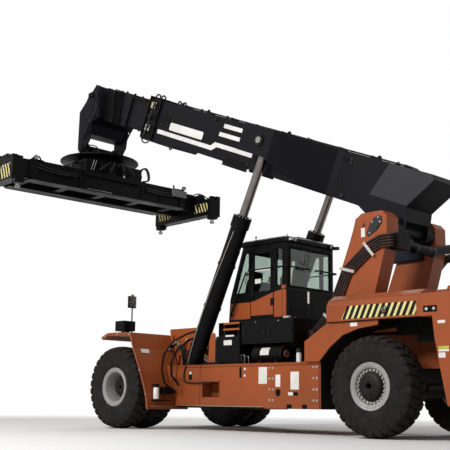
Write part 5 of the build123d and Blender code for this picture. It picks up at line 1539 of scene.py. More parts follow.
class STACKER_OT_cab_panels(bpy.types.Operator):
    """Painted panels, window seals, door furniture, wipers and notes of the cab"""
    bl_idname = "stacker.cab_panels"
    bl_label = "Cab panels and seals"

    def execute(self, context):
        y = (CAB_Y - 2, CAB_Y + 7)
        front = Shape().plate([(-2004, 2185), (-2596, 2185), (-2596, 2516), (-2030, 2516)], y)
        front.plate([(-3232, 2185), (-3442, 2185), (-3442, 2708), (-3232, 2680)], y)
        front.plate([(-3450, 2185), (-3546, 2185), (-3546, 2722), (-3450, 2710)], y)
        front.block((-3546, -3440), (CAB_Y - 4, CAB_Y + 22), (2722, 2790)).mirror()
        middle = Shape().plate([(-2612, 2185), (-3216, 2185), (-3216, 2676), (-2740, 2540), (-2612, 2520)],
            (-CAB_Y - 7, -CAB_Y + 2))
        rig.slot(make("cab_side_panels", front, "terracotta", bevel=3), "terracotta_paint")
        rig.slot(make("cab_right_panel", middle, "terracotta", bevel=3), "terracotta_paint")
        door = Shape().plate([(-2616, 2240), (-3206, 2240), (-3206, 2674), (-2740, 2540), (-2616, 2520)], y)
        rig.slot(make("door_panel", door, "terracotta", "cab_door", 3), "terracotta_paint")
        make("door_sill", Shape().block((-3216, -2612), y, (2183, 2226)), "black", bevel=3)
        seals = Shape()
        for outline in (QUARTER, REAR_QUARTER):
            for span in ((CAB_Y - 24, CAB_Y + 8), (-CAB_Y - 8, -CAB_Y + 24)):
                seal(seals, outline, span)
        seal(seals, RIGHT_WINDOW, (-CAB_Y - 8, -CAB_Y + 24))
        make("side_window_seals", seals, "gasket", bevel=4)
        ring = seal(Shape(), DOOR_WINDOW, (CAB_Y - 24, CAB_Y + 7))
        make("door_window_seal", ring, "gasket", "cab_door", 4)
        rear = Shape()
        outer = [(-646, 2754), (646, 2754), (646, 3566), (-646, 3566)]
        inner = [(-604, 2796), (604, 2796), (604, 3524), (-604, 3524)]
        rear.skin([[(x, y, z) for y, z in ring] for ring, x in ((outer, -3522), (outer, -3559),
            (inner, -3559), (inner, -3522))], closed=True)
        (xa, za), (xb, zb) = WINDSCREEN
        lean = Vector((xb - xa, 0, zb - za)).normalized()
        out = Vector((lean.z, 0, -lean.x))
        corner = Vector((xa, 0, za))
        reach = math.dist((xa, za), (xb, zb))
        rings = []
        for margin, depth in ((24, 4), (24, 36), (-14, 36), (-14, 4)):
            rings.append([tuple(corner + lean * s + out * depth + Vector((0, t, 0)))
                for s, t in ((-margin, -630 - margin), (-margin, 630 + margin),
                (reach + margin, 630 + margin), (reach + margin, -630 - margin))])
        rear.skin(rings, closed=True)
        make("end_window_seals", rear, "gasket", bevel=4)
        make("door_handle", Shape().hose([(-2680, CAB_Y + 6, 2600), (-2680, CAB_Y + 40, 2600),
            (-2680, CAB_Y + 44, 2650), (-2680, CAB_Y + 40, 2740), (-2680, CAB_Y + 6, 2740)], 9, 5),
            "plastic", "cab_door", 2)
        wiper = Shape()
        for t0, t1, side in ((-120, 420, 0.62), (120, -300, 0.55)):
            foot = corner + lean * 40 + out * 46
            tip = corner + lean * (reach * side) + out * 46
            wiper.bar(foot + Vector((0, t0, 0)), tip + Vector((0, t1, 0)), 7, 8)
            wiper.bar(foot + Vector((0, t0, 0)) - out * 26, foot + Vector((0, t0, 0)) + out * 10, 22, 16)
            blade = tip + Vector((0, t1, 0))
            wiper.bar(blade - lean * 260 - out * 14, blade + lean * 240 - out * 14, 8, 6)
        wiper.bar((-3572, 40, 3560), (-3572, 120, 3240), 7, 8).bar((-3566, -60, 3180), (-3566, 300, 3290),
            8, 6)
        wiper.bar((-3545, 40, 3560), (-3582, 40, 3560), 20, 16)
        make("wipers", wiper, "plastic")
        notes = Shape().block((-2860, -2700), (699, 702), (2880, 2970))
        notes.block((-3120, -2710), (699, 702), (3120, 3190))
        make("window_notes", notes, "film", "cab_door")
        return {"FINISHED"}


class STACKER_OT_cab_roof(bpy.types.Operator):
    """Crowned roof of the cab, with its lamps and aerial stubs"""
    bl_idname = "stacker.cab_roof"
    bl_label = "Cab roof"

    # height of each ring of the shell, and how far it stands in from the roof's widest line
    RINGS = ((3640, 26), (3650, 6), (3690, 0), (3725, 10), (3752, 50), (3772, 130), (3786, 260),
        (3794, 420), (3797, 560))

    def execute(self, context):
        # the roof's middle and half length; its crown stands 26 mm over its ends
        shell, middle, half = Shape(), -2955, 653
        shell.skin([[(a, b, z + (26 * (1 - ((a - middle) / half) ** 2) if z > 3650 else 0))
            for a, b in rounded((-3608 + inset, -2302 - inset), (-760 + inset, 760 - inset),
            max(90 - inset * 0.2, 20), 14)] for z, inset in self.RINGS])
        shell.block((-3420, -2560), (-210, 210), (3770, 3818))
        roof = make("cab_roof_shell", shell, "black", bevel=4)
        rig.replaces(roof, "cab_roof")
        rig.slot(roof, "black_paint")
        body, lens = Shape(), Shape()
        for y in (-600, -330, 330, 600):
            lamp_body(body, lens, (-2292, y, 3690), (1, 0, -0.25), 52, 60)
            body.block((-2400, -2330), (y - 20, y + 20), (3660, 3700))
        for y in (-560, 560):
            lamp_body(body, lens, (-3640, y, 3690), (-1, 0, -0.3), 48, 50)
        body.block((-3700, -3600), (672, 752), (3640, 3700)).block((-3700, -3600), (-752, -672),
            (3640, 3700))
        body.bar((-2662, 640, 3760), (-2662, 640, 3850), 9, 10).bar((-3500, 640, 3755), (-3500, 640, 3810),
            8, 10)
        body.bar((-2662, 640, 3820), (-2662, 640, 3850), 18, 10).bar((-3420, -560, 3760),
            (-3420, -560, 3800), 16, 12)
        make("roof_lamps", body, "plastic", bevel=2)
        lens.block((-3702, -3640), (690, 754), (3650, 3694))
        make("roof_lamp_lenses", lens, "clear_lens", bevel=2)
        return {"FINISHED"}


class STACKER_OT_seat(bpy.types.Operator):
    """Driver's seat: padded cushion, back and headrest on a bellows base"""
    bl_idname = "stacker.seat"
    bl_label = "Driver's seat"

    def cushion(self, at, half, crown, channels):
        """A crowned closed pad whose sides pull in between its corners, with sewn channels across it."""
        shape, steps = Shape(), 22
        width, length, thick = half

        def point(i, j, top):
            u, v = 2 * i / steps - 1, 2 * j / steps - 1
            x, y = u * length * (1 - 0.035 * (1 - v * v)), v * width * (1 - 0.035 * (1 - u * u))
            body = max(1 - u ** 6, 0) ** 0.5 * max(1 - v ** 6, 0) ** 0.5
            if not top:
                return (x, y, -thick * body ** 0.5)
            groove = max((math.exp(-((u - c) / 0.045) ** 2) for c in channels), default=0)
            bolster = 0.35 * crown * math.exp(-((abs(v) - 0.8) / 0.14) ** 2)
            edge = math.exp(-((abs(v) - 0.6) / 0.05) ** 2)
            sewn = 12 * max(groove * (abs(v) < 0.6), 0.8 * edge)
            return (x, y, body * (thick + crown * (1 - 0.5 * (u * u + v * v)) + bolster - sewn))
        grid = {(i, j, top): shape.mesh.verts.new(point(i, j, top)) for i in range(steps + 1)
            for j in range(steps + 1) for top in (True, False) if top or (0 < i < steps and 0 < j < steps)}
        for i in range(steps):
            for j in range(steps):
                for top in (True, False):
                    corners = [grid.get((a, b, top)) or grid[(a, b, True)]
                        for a, b in ((i, j), (i + 1, j), (i + 1, j + 1), (i, j + 1))]
                    shape.mesh.faces.new(corners if top else corners[::-1])
        return shape, MACHINE @ at

    def execute(self, context):
        upright = Matrix.Rotation(math.radians(82), 4, "Y")
        pads = {
            "seat_cushion": (Matrix.Translation((-2998, 0, 2550)), (252, 246, 50), 18, (-0.45, 0.0, 0.45)),
            "seat_back": (Matrix.Translation((-3262, 0, 2900)) @ upright, (240, 300, 44), 16,
                (-0.5, -0.1, 0.3)),
            "seat_headrest": (Matrix.Translation((-3262, 0, 3262)) @ upright, (130, 70, 34), 12, ()),
        }
        for name, (at, half, crown, channels) in pads.items():
            shape, place = self.cushion(at, half, crown, channels)
            pad = make(name, shape, "cloth", at=place)
            smooth = pad.modifiers.new("filled", "SUBSURF")
            smooth.levels = smooth.render_levels = 1
            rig.slot(pad, "seat_fabric")
            if name == "seat_cushion":
                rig.replaces(pad, "seat")
            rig.padded(pad, fill=0.8)
        base = Shape().bar((-3255, 60, 3170), (-3262, 60, 3250), 9, 10)
        base.bar((-3230, 275, 2760), (-2930, 275, 2770), 26, 16)
        base.bar((-3240, 275, 2760), (-3262, 230, 2700), 14, 10).mirror()
        base.block((-3200, -2800), (-200, 200), (2210, 2250))
        base.block((-3220, -2780), (-225, 225), (2460, 2500))
        make("seat_frame", base, "plastic", bevel=4)
        bellows = Shape()
        for step in range(7):
            z = 2250 + step * 30
            inset = 14 if step % 2 else 0
            bellows.block((-3190 + inset, -2810 - inset), (-190 + inset, 190 - inset), (z, z + 30))
        make("seat_bellows", bellows, "gasket", bevel=6)
        return {"FINISHED"}


class STACKER_OT_controls(bpy.types.Operator):
    """Steering wheel, pedals, console with levers, dashboard and displays"""
    bl_idname = "stacker.controls"
    bl_label = "Cab controls"

    def execute(self, context):
        wheel = Shape()
        centre, axis = Vector((-2440, 0, 2800)), Vector((-0.30, 0, 1)).normalized()
        u, v = across(axis)
        rim, grip = 172, 17
        wheel.skin([[centre + (u * a + v * b) * (rim + grip * c) / rim + axis * grip * s
            for c, s in circle(1, 12)] for a, b in circle(rim, 36)], closed=True)
        for a, b in circle(1, 3, 0.5):
            wheel.bar(centre + (u * a + v * b) * 30 - axis * 14, centre + (u * a + v * b) * 165, 11, 8)
        wheel.turned([(-30, 40), (-14, 52), (6, 48), (12, 36), (12, 2)], centre, axis, 28)
        wheel.bar((-2420, 0, 2215), (-2425, 0, 2440), 62, 24, 44).bar((-2425, 0, 2440), centre - axis * 24,
            44, 24, 34)
        wheel.block((-2400, -2250), (-150, 150), (2215, 2300))
        for y in (-110, 110):
            wheel.plate([(-2330, 2300), (-2316, 2300), (-2230, 2420), (-2244, 2428)], (y - 34, y + 34))
        column = make("steering_wheel", wheel, "plastic", bevel=3)
        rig.replaces(column, "cab_controls")
        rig.slot(column, "black_plastic")
        console = Shape().plate([(-3150, 2212), (-2640, 2212), (-2600, 2640), (-2760, 2750), (-3150, 2730)],
            (-480, -330))
        console.bar((-2800, -405, 2735), (-2815, -405, 2840), 11, 10).bar((-2960, -405, 2735),
            (-2960, -405, 2800), 9, 10)
        console.turned([(0, 16), (20, 26), (60, 28), (86, 18), (90, 2)], (-2812, -405, 2826), (-0.15, 0, 1),
            20)
        console.turned([(0, 12), (14, 18), (34, 14), (38, 2)], (-2960, -405, 2796), Z, 16)
        console.bar((-2560, -400, 2700), (-2500, -420, 2960), 12, 10)
        console.block((-2530, -2480), (-560, -300), (2960, 3140))
        make("console", console, "plastic", bevel=6)
        dash = Shape().plate([(-2140, 2620), (-2228, 3000), (-2258, 3024), (-2316, 3012), (-2252, 2880),
            (-2212, 2620)], (-520, 440))
        dash.block((-2350, -2316), (90, 360), (3030, 3200)).bar((-2330, 225, 2990), (-2330, 225, 3060), 14,
            12)
        dash.block((-2340, -2310), (-330, -130), (3030, 3150)).bar((-2325, -230, 2990), (-2325, -230, 3060),
            14, 12)
        make("dashboard", dash, "plastic", bevel=6)
        screen = Shape().block((-2538, -2529), (-540, -320), (2975, 3125))
        screen.block((-2355, -2348), (105, 345), (3045, 3185)).block((-2345, -2338), (-318, -142),
            (3042, 3138))
        make("displays", screen, "gasket", bevel=2)
        return {"FINISHED"}


class STACKER_OT_cab_outside(bpy.types.Operator):
    """Rear handrails, grips, mounts, lamps and bolts round the cab"""
    bl_idname = "stacker.cab_outside"
    bl_label = "Cab rails and lamps"

    def execute(self, context):
        rails = Shape()
        y = 782
        rails.hose([(-3570, y, 2712), (-3620, y, 2706), (-4080, y, 2622), (-4148, y, 2610),
            (-4152, y, 2540), (-4152, y, 2110)], 15)
        rails.bar((-3640, y, 2120), (-3640, y, 2703), 13, 12)
        rails.bar((-4152, y, 2350), (-3640, y, 2380), 11, 12)
        rails.bar((-4152, y, 2112), (-4152, y, 2128), 42, 20).bar((-3640, y, 2112), (-3640, y, 2128), 42,
            20)
        make("rear_rails", rails.mirror(), "black")
        make("rail_sleeves", Shape().bar((-4152, y, 2380), (-4152, y, 2600), 19, 16).mirror(), "film")
        mounts = Shape()
        for x in (-3420, -2140):
            for y in (-620, 620):
                mounts.turned([(0, 70), (12, 78), (26, 60), (40, 56)], (x, y, 2118), Z, 24)
        make("cab_mounts", mounts, "gasket")
        body, lens = Shape(), Shape()
        body.block((-3800, -3640), (740, 850), (2122, 2152))
        body.block((-3800, -3640), (848, 862), (2032, 2160))
        lens.block((-3790, -3650), (860, 936), (2092, 2170))
        body.mirror()
        lens.mirror()
        make("cabinet_lamp_brackets", body, "plastic", bevel=4)
        make("cabinet_lamps", lens, "zinc", bevel=8)
        places = [((x, y, 2120), Z) for x in (-1990, -2900, -3900) for y in (-880, 880)]
        bolts("cabinet_bolts", places, "zinc", 26, 12)
        return {"FINISHED"}


# ---- equipment on the frame ----
# the cabinet's side face and the air tanks' axis
CABINET_Y = 1300
TANK_Y, TANK_Z = 1120, 1445


class STACKER_OT_cabinet(bpy.types.Operator):
    """Lids, latches, labels, air tank ends, pipes, grease cans and steps beside the cab"""
    bl_idname = "stacker.cabinet"
    bl_label = "Cabinet and steps"

    def execute(self, context):
        lids, lid = Shape(), (CABINET_Y - 2, CABINET_Y + 7)
        lids.plate(rounded((-4196, -3580), (1668, 2058), 14, 2), lid)
        lids.plate(rounded((-3556, -2946), (1668, 2058), 14, 2), lid)
        lids.plate(rounded((-2862, -2248), (1296, 1790), 14, 2), lid).mirror()
        make("cabinet_lids", lids, "black", bevel=4)
        latches = Shape()
        for x, z in ((-4150, 1860), (-3620, 1860), (-3510, 1860), (-2990, 1860), (-2830, 1740),
                (-2280, 1740)):
            latches.block((x - 16, x + 16), (CABINET_Y + 5, CABINET_Y + 22), (z - 34, z + 34))
            latches.bar((x, 1320, z + 14), (x, 1328, z + 14), 11, 14)
        make("cabinet_latches", latches.mirror(), "plastic", bevel=3)
        labels = Shape().plate(rounded((-2668, -2448), (1637, 1732), 8, 2), (CABINET_Y + 6, CABINET_Y + 10))
        labels.block((-2719, -2490), (1299, 1302), (1800, 1832)).mirror()
        make("cabinet_labels", labels, "film")
        wrap = Shape()
        # degrees round the tank from its top
        angles = [math.radians(a) for a in range(38, 100, 12)]
        rings = [[(x, TANK_Y + r * math.sin(a), TANK_Z + r * math.cos(a))
            for r, a in [(145.5, a) for a in angles] + [(148, a) for a in reversed(angles)]]
            for x in (-3590, -3370)]
        make("air_tank_label", wrap.skin(rings), "film")
        ends = Shape()
        for x, way in ((-3900, -1), (-3150, 1)):
            for y in (TANK_Y, -TANK_Y):
                ends.turned([(-4, 22), (-4, 72), (10, 74), (16, 62), (8, 20)], (x, y, TANK_Z), (way, 0, 0),
                    36, True)
        make("air_tank_ends", ends, "copper")
        straps = Shape()
        for x in (-3760, -3290):
            for y in (TANK_Y, -TANK_Y):
                straps.turned([(-22, 145), (-22, 151), (22, 151), (22, 145)], (x, y, TANK_Z), X, 40, True)
        make("air_tank_straps", straps, "black")
        pipes = Shape()
        pipes.hose([(-3010, 1300, 1276), (-3010, 1300, 1400), (-3000, 1290, 1440), (-2900, 1280, 1440),
            (-2886, 1270, 1390), (-2884, 1250, 1300)], 20)
        pipes.hose([(-3060, 1240, 1276), (-3060, 1240, 1380), (-3040, 1230, 1420), (-2940, 1215, 1420),
            (-2890, 1200, 1400)], 15)
        make("fuel_pipes", pipes, "pipe")
        make("grease_cans", Shape().bar((-4395, 1345, 1268), (-4395, 1345, 1440), 46, 28).mirror(), "film",
            bevel=6)
        make("grease_can_lids", Shape().bar((-4395, 1345, 1438), (-4395, 1345, 1510), 50, 28).mirror(),
            "plastic", bevel=6)
        post = Shape().plate([(-2205, 1268), (-2010, 1268), (-2030, 1700), (-2090, 1890), (-2180, 1890),
            (-2205, 1840)], (1284, 1300))
        post.block((-2180, -1990), (1100, 1300), (1266, 1278)).mirror()
        make("step_posts", post, "terracotta", bevel=4)
        make("battery_trays", Shape().block((-2450, -1960), (1302, 1402), (1270, 1312)).mirror(), "black",
            bevel=4)
        wall = Shape().block((-760, -480), (938, 950), (1330, 1640)).mirror()
        wall.block((-1160, -1146), (-556, 556), (1290, 1880))
        make("frame_walls", wall, "terracotta", bevel=4)
        lips = Shape()
        for z in (1925, 2040):
            lips.block((-2864, -2436), (1296, 1306), (z - 4, z + 34)).block((-2440, -2428), (980, 1306),
                (z - 4, z + 34))
        make("step_lips", lips.mirror(), "terracotta", bevel=3)
        seed = Shape().block((-190, 190), (-8, 8), (0, 6))
        bars = grown(seed, "row", "steel", Count=7, Step=(0.0, 44.0, 0.0))
        for z in (1955, 2070):
            settle_pair(f"step_bars_{z}", bars, moved(-2650, 1010, z))
        places = [((x, CABINET_Y + 7, z), Y) for x in (-4180, -3596, -3540, -2962) for z in (1690, 2036)]
        bolts("lid_bolts", places, "black", 20, 9, both=True)
        places = [((x, CABINET_Y, 2044), Y) for x in (-3862, -3290)]
        bolts("cabinet_studs", places, "zinc", 20, 8, both=True)
        return {"FINISHED"}


class STACKER_OT_fenders(bpy.types.Operator):
    """Edges, labels, hoses, filters, mirror glass and lamps of the front fenders"""
    bl_idname = "stacker.fenders"
    bl_label = "Front fenders"

    def execute(self, context):
        edge = Shape()
        outline = [(430, 1846), (252, 1934), (-522, 1934), (-644, 1602), (-874, 1162), (-1084, 672),
            (-1134, 402)]
        edge.hose([(x, 2078, z) for x, z in outline], 12, 3, order=2)
        make("fender_edges", edge.mirror(), "terracotta")
        labels = Shape().skin([[(x, y, z) for y in (1690, 1900)] + [(x - 3, y, z + 1) for y in (1900, 1690)]
            for x, z in ((-648, 1600), (-690, 1518))])
        labels.block((-300, -40), (954, 957), (1560, 1660)).mirror()
        make("fender_labels", labels, "film")
        hoses = Shape()
        for i in range(3):
            y = 1000 + 34 * i
            hoses.hose([(-1010 - 10 * i, y, 1290), (-1030, y + 10, 1480), (-1010 + 30 * i, y + 30, 1660),
                (-900 + 30 * i, y + 60, 1760), (-740, y + 60, 1730), (-660 + 20 * i, y + 60, 1640)], 17)
            hoses.hose([(-1090 - 30 * i, 930 + 30 * i, 1280), (-1120, 930 + 30 * i, 1420),
                (-1090, 930 + 20 * i, 1560), (-980, 925, 1600 + 10 * i), (-860, 925, 1560)], 15)
        make("frame_hoses", hoses.mirror(), "rubber")
        brass = Shape()
        for i in range(2):
            brass.hose([(-950 - 40 * i, 990 + 30 * i, 1700), (-1000 - 30 * i, 990 + 30 * i, 1800),
                (-1040 - 30 * i, 985, 1850), (-1060 - 30 * i, 930, 1860)], 13)
        make("frame_pipes", brass.mirror(), "brass")
        clamps = Shape()
        for x, z in ((-770, 1748), (-860, 1770), (-950, 1720)):
            clamps.block((x - 28, x + 28), (1045, 1150), (z - 34, z + 34))
            clamps.bar((x, 1148, z), (x, 1166, z), 13, 6)
        clamps.block((-700, -640), (1050, 1160), (1600, 1660)).mirror()
        make("hose_blocks", clamps, "zinc", bevel=6)
        make("filters", Shape().turned([(0, 20), (0, 48), (14, 56), (210, 56), (228, 46), (228, 3)],
            (-1168, 1900, 600), (0, 0, 1), 32).mirror(), "film")
        pump = Shape().bar((-1168, 1900, 828), (-1168, 1900, 862), 60, 28).block((-1210, -1080),
            (1850, 1950), (858, 892))
        pump.block((-1230, -1080), (1560, 1740), (690, 840)).bar((-1180, 1470, 765), (-1180, 1562, 765), 56,
            24)
        pump.block((-1210, -1090), (1540, 1960), (560, 585)).mirror()
        make("filter_heads", pump, "black", bevel=4)
        make("mirror_glass", Shape().plate(rounded((1616, 1784), (2486, 2724), 24, 4), (-114, -110),
            "x").mirror(), "chrome")
        body, lens = Shape(), Shape()
        for y in (1630, 1790):
            lamp_body(body, lens, (258, y, 2105), X, 62, 30)
        body.turned([(0, 20), (8, 40), (30, 44), (40, 30), (44, 3)], (-80, 1690, 1925), Z, 20)
        body.mirror()
        lens.mirror()
        make("fender_lamps", body, "plastic")
        make("fender_lamp_lenses", lens, "clear_lens")
        make("marker_caps", Shape().turned([(0, 30), (10, 32), (40, 26), (46, 4)], (-80, 1690, 2730), Z,
            20).mirror(), "red_lens")
        places = [((x, 2080, z), Y) for x, z in ((300, 1880), (-100, 1905), (-480, 1900), (-620, 1620),
            (-840, 1170), (-1060, 690))]
        bolts("fender_bolts", places, "zinc", 26, 12, both=True)
        return {"FINISHED"}


class STACKER_OT_underbody(bpy.types.Operator):
    """Brake pipes under the frame and the clips that hold them"""
    bl_idname = "stacker.underbody"
    bl_label = "Brake pipes"

    def execute(self, context):
        pipes = Shape()
        pipes.hose([(-180, 420, 960), (-200, 600, 1000), (-210, 800, 1010), (-200, 960, 960)], 9, 5)
        pipes.hose([(-400, 530, 1200), (-2000, 530, 1210), (-4000, 530, 1210), (-4850, 530, 1200)], 11, 5)
        pipes.hose([(-400, 500, 1180), (-2000, 500, 1180), (-4000, 500, 1180), (-4850, 500, 1190)], 11, 5)
        make("brake_pipes", pipes.mirror(), "zinc")
        clips = Shape().block((-20, 20), (480, 562), (1160, 1232))
        row = grown(clips, "row", "plastic", Count=8, Step=(-560.0, 0.0, 0.0))
        settle_pair("pipe_clips", row, moved(-600, 0, 0), bevel=3)
        return {"FINISHED"}


# ---- rotator and spreader ----
# a twistlock's axis, and the outer face of an end beam
LOCK_X, LOCK_Y = 1129.5, 2926.5
END_FACE = 3060


class STACKER_OT_hanger(bpy.types.Operator):
    """Hoses, cover ribs, bolts and hose blocks of the swinging hanger"""
    bl_idname = "stacker.hanger"
    bl_label = "Hanger"

    def execute(self, context):
        hoses = Shape()
        for i in range(3):
            y, x = (470 + 26 * i), -70 + 70 * i
            hoses.hose([(x * 0.4, 500, 6900), (x * 1.6, 520 + 10 * i, 6840), (x * 2.6, y, 6760),
                (x * 2.8, y, 6700), (x * 2.6, y * 0.98, 6640)], 15)
        hoses.hose([(-380, 330, 6640), (-420, 330, 6820), (-330, 380, 6960), (-140, 480, 7000),
            (-40, 500, 6960)], 14, 7)
        hoses.hose([(330, 300, 6640), (380, 300, 6800), (300, 370, 6900), (120, 480, 6950)], 14, 7)
        make("hanger_hoses", hoses.mirror(), "rubber", "hanger")
        ribs = Shape()
        for i in range(16):
            turn = Matrix.Rotation(2 * math.pi * i / 16, 4, "Z")
            ribs.skin([[tuple(turn @ Vector((a, s, b))) for a, b in ((545, 6740), (985, 6648), (985, 6662),
                (600, 6772), (545, 6778))] for s in (-7, 7)])
        ribs.turned([(-16, 992), (-16, 1008), (4, 1008), (4, 992)], (0, 0, 6638), Z, 64, True)
        make("hood_ribs", ribs, "black", "hanger", 2)
        places = [((620 * c, 620 * s, 6735), Z) for c, s in circle(1, 24, 0.1)]
        bolts("hood_bolts", places, "black", 30, 16, body="hanger")
        blocks = Shape()
        blocks.block((-170, 170), (555, 575), (6640, 6760))
        blocks.block((-430, -340), (300, 380), (6640, 6690))
        make("hanger_blocks", blocks.mirror(), "black", "hanger", 4)
        return {"FINISHED"}


class STACKER_OT_rotator(bpy.types.Operator):
    """Slewing motors, valve blocks, hoses, rods, lamp and bolts of the rotator"""
    bl_idname = "stacker.rotator"
    bl_label = "Rotator"

    def execute(self, context):
        motors = Shape()
        for x, y in ((-560, 620), (560, -620)):
            motors.bar((x, y, 6470), (x, y, 6500), 120, 28)
        for y in (-300, 300):
            motors.block((-800, -698), (y - 140, y + 140), (6230, 6430))
            motors.bar((-860, y, 6330), (-796, y, 6330), 62, 24)
            motors.bar((-890, y, 6330), (-860, y, 6330), 40, 20)
        for y in (-872, 852):
            motors.block((-520, -80), (y, y + 20), (6240, 6420)).block((120, 560), (y, y + 20),
                (6240, 6420))
        make("rotator_motors", motors, "black", "rotator", 5)
        hoses, ends = Shape(), Shape()
        for x in (-440, -380, -320):
            hoses.hose([(x, 850, 6400), (x, 940 + abs(x + 320), 6430), (x + 60, 1060, 6300),
                (x + 100, 1060, 6220), (x + 120, 980, 6190), (x + 130, 860, 6230)], 17)
            ends.bar((x, 846, 6396), (x, 890, 6412), 23, 6)
        hoses.mirror()
        ends.mirror()
        for i, y in enumerate((-210, -90, 90, 210)):
            ends.bar((-744, y, 6402), (-770, y, 6446), 24, 6)
            hoses.hose([(-740, y, 6420), (-800 - 16 * i, y, 6490), (-860 - 20 * i, y * 1.4, 6420),
                (-880, y * 2.0, 6300), (-860, y * 2.4, 6230), (-780, y * 2.4, 6215), (-700, y * 2.2, 6240)],
                19)
        for shift in (0, 60):
            hoses.hose([(-650 + shift, -846, 6400), (-655 + shift, -930, 6560), (-650 + shift, -1090, 6540),
                (-645 + shift, -1160, 6330), (-640 + shift, -1120, 6210), (-640 + shift, -960, 6196)], 19)
        make("rotator_hoses", hoses, "rubber", "rotator")
        make("rotator_fittings", ends, "pipe", "rotator")
        rods = Shape()
        for shift in (0, 70):
            rods.bar((-716, 640 + shift, 6196), (-716, 560 + shift, 6460), 11, 10)
        make("rotator_rods", rods, "steel", "rotator")
        lamp, lens = Shape(), Shape()
        lamp_body(lamp, lens, (-716, -290, 6186), (-1, 0, -0.2), 44, 30)
        make("rotator_lamp", lamp, "plastic", "rotator")
        make("rotator_lamp_lens", lens, "clear_lens", "rotator")
        places = [((590 * c, 590 * s, 6470), Z) for c, s in circle(1, 20)]
        places += [((x, side * 851, z), (0, side, 0)) for side in (1, -1) for x in (-640, 640)
            for z in (6230, 6430)]
        bolts("rotator_bolts", places, "black", 32, 16, body="rotator")
        return {"FINISHED"}


class STACKER_OT_spreader(bpy.types.Operator):
    """Cylinders, ribs, control box, lamps, hoses, bolts and treads of the spreader frame"""
    bl_idname = "stacker.spreader"
    bl_label = "Spreader frame"

    def execute(self, context):
        gear = Shape()
        gear.bar((0, 2300, 5930), (0, 700, 5930), 70, 24).bar((0, 2330, 5930), (0, 2300, 5930), 92, 24)
        for x in ((-654, -640), (640, 654)):
            gear.block(x, (2180, 2345), (5700, 6160))
        for x in ((-652, -640), (640, 652)):
            gear.block(x, (900, 960), (5690, 6036)).block(x, (1500, 1560), (5690, 6036))
        for x in ((-670, -640), (640, 670)):
            gear.block(x, (2020, 2300), (6156, 6186))
        gear.mirror()
        for x in ((-670, -640), (640, 670)):
            gear.block(x, (-2300, 2300), (5676, 5704))
        make("spreader_ribs", gear, "black", "spreader", 3)
        make("spreader_boxes", Shape().block((-760, -640), (-2330, -1900), (5950, 6130)), "mid_grey",
            "spreader", 8)
        lamp, lens = Shape(), Shape()
        for y in (-2260, 2260):
            for way, foot in ((-1, (-680, -640)), (1, (640, 680))):
                lamp_body(lamp, lens, (730 * way, y, 6210), (way, 0, -0.7), 56, 60)
                lamp.block(foot, (y - 16, y + 16), (6150, 6220))
        make("spreader_lamps", lamp, "plastic", "spreader")
        make("spreader_lamp_lenses", lens, "clear_lens", "spreader")
        hoses = Shape()
        hoses.hose([(-664, 1050, 6016), (-700, 1200, 5996), (-690, 1600, 5986), (-690, 2000, 6010),
            (-668, 2160, 6080)], 18)
        hoses.hose([(-664, 1050, 5966), (-720, 1250, 5930), (-700, 1600, 5930), (-700, 2000, 5940),
            (-668, 2200, 6000)], 18)
        hoses.hose([(-560, 2040, 6182), (-540, 2040, 6290), (-460, 2110, 6320), (-380, 2190, 6260),
            (-370, 2210, 6182)], 20)
        make("spreader_hoses", hoses.mirror(), "rubber", "spreader")
        make("spreader_pipes", Shape().hose([(-652, 40, 5712), (-668, 60, 5712), (-668, 740, 5712),
            (-652, 760, 5712)], 11, 4), "steel", "spreader")
        places = [((sx * 654, side * y, z), (sx, 0, 0)) for sx in (1, -1) for side in (1, -1)
            for y in (2205, 2320) for z in (5740, 5860, 5990, 6120)]
        bolts("spreader_bolts", places, "black", 34, 18, body="spreader")
        make("spreader_treads", Shape().block((340, 600), (1680, 2200), (6178, 6186)).mirror(), "plastic",
            "spreader", 2)
        return {"FINISHED"}


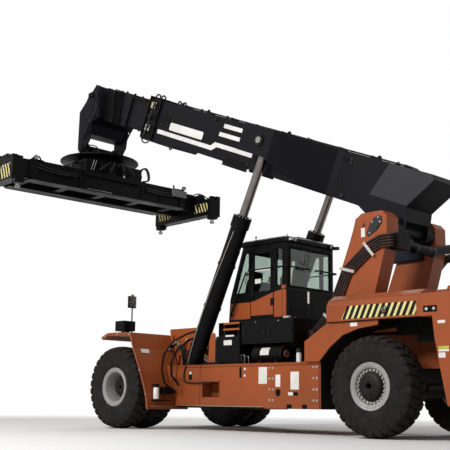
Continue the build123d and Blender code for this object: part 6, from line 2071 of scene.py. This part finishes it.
class STACKER_OT_spreader_ends(bpy.types.Operator):
    """Warning stripes, lock motors, hoses, plates and lock collars of the sliding end beams"""
    bl_idname = "stacker.spreader_ends"
    bl_label = "Spreader ends"

    def execute(self, context):
        arms = ("arm_left", "arm_right")
        film = Shape()
        for x0, x1 in ((-1090, -540), (540, 1090)):
            film.block((x0, x1), (END_FACE - 1, END_FACE + 2.5), (5560, 5890))
            film.block((x0, x1), (2797.5, 2801), (5620, 5860))
        make_pair("end_stripes", film, "end_stripes", SPREADER, arms, own=True)
        gear = Shape()
        for x in (-LOCK_X, LOCK_X):
            gear.bar((x, LOCK_Y, 5930), (x, LOCK_Y, 6010), 78, 28).block((x - 60, x + 60), (2850, 2990),
                (5996, 6036))
            gear.block(sorted((x, x * 0.72)), (2880, 2960), (5940, 5990))
            for y in (2830, 3020):
                gear.block((x - 90, x + 90), (y, y + 14), (5410, 5500))
        for x in (-700, 700):
            gear.block((x - 16, x + 16), (2780, 3010), (5600, 6130))
        gear.block((-1219, 1219), (END_FACE - 2, END_FACE + 8), (5505, 5530)).block((-1219, 1219),
            (END_FACE - 2, END_FACE + 8), (5905, 5930))
        gear.block((-300, 300), (2830, 2990), (6120, 6190)).block((-220, 220), (END_FACE, END_FACE + 15),
            (5600, 5850))
        make_pair("end_gear", gear, "black", SPREADER, arms, 4, own=True)
        hoses = Shape()
        for way in (1, -1):
            hoses.hose([(way * 320, 2900, 6160), (way * 420, 2900, 6220), (way * 640, 2920, 6180),
                (way * 820, 2930, 6080), (way * 920, 2930, 6000), (way * 1040, 2926, 6015)], 17)
            hoses.hose([(way * 320, 2950, 6150), (way * 460, 2960, 6180), (way * 660, 2975, 6120),
                (way * 780, 2970, 6010), (way * 860, 2960, 5975)], 15)
        make_pair("end_hoses", hoses, "rubber", SPREADER, arms, own=True)
        make_pair("end_plates", Shape().block((-180, 180), (END_FACE + 14, END_FACE + 18), (5640, 5810)),
            "film", SPREADER, arms, own=True)
        pale = Shape()
        for x in (-LOCK_X, LOCK_X):
            pale.turned([(0, 48), (0, 62), (12, 62), (16, 54), (16, 48)], (x, LOCK_Y, 5384), Z, 28, True)
            pale.bar((x * 0.9, 2926, 5992), (x * 0.9, 2926, 6020), 20, 6)
        make_pair("lock_collars", pale, "steel", SPREADER, arms, own=True)
        places = [((x + dx, END_FACE, z), Y) for x in (-LOCK_X, LOCK_X) for dx in (-60, 60)
            for z in (5440, 5490)]
        places += [((x, END_FACE + 8, z), Y) for x in (-400, 400) for z in (5517, 5917)]
        for side, body in zip(SIDES, arms):
            flip = -1 if side == "right" else 1
            bolts(f"end_bolts_{side}", [((x, flip * y, z), (a, flip * b, c))
                for (x, y, z), (a, b, c) in places], "steel", 28, 14, body=body)
        return {"FINISHED"}


# ---- panel and registration ----
class STACKER_PT_panel(bpy.types.Panel):
    """Settings of the reach stacker and the operators that build it"""
    bl_idname = "STACKER_PT_panel"
    bl_label = "Reach stacker"
    bl_space_type = "VIEW_3D"
    bl_region_type = "UI"
    bl_category = "Stacker"

    def draw(self, context):
        for group in (context.scene.stacker_paint, context.scene.stacker_sizes):
            box = self.layout.box()
            for name in group.__annotations__:
                box.prop(group, name)
        column = self.layout.column(align=True)
        for operator in OPERATORS:
            column.operator(operator.bl_idname)


OPERATORS = [item for name, item in list(globals().items()) if name.startswith("STACKER_OT_")]
CLASSES = [StackerPaint, StackerSizes, *OPERATORS, STACKER_PT_panel]


def register():
    for item in CLASSES:
        bpy.utils.register_class(item)
    bpy.types.Scene.stacker_paint = bpy.props.PointerProperty(type=StackerPaint)
    bpy.types.Scene.stacker_sizes = bpy.props.PointerProperty(type=StackerSizes)


def unregister():
    del bpy.types.Scene.stacker_paint
    del bpy.types.Scene.stacker_sizes
    for item in reversed(CLASSES):
        bpy.utils.unregister_class(item)


def main():
    register()
    make_finishes()
    for operator in OPERATORS:
        group, name = operator.bl_idname.split(".")
        getattr(getattr(bpy.ops, group), name)()
    sides = {"cad": CAD_BOX, "visual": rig.bounds()}
    with open("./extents.json", "w") as report:
        json.dump({name: [list(corner) for corner in box] for name, box in sides.items()}, report)


if __name__ == "__main__":
    main()
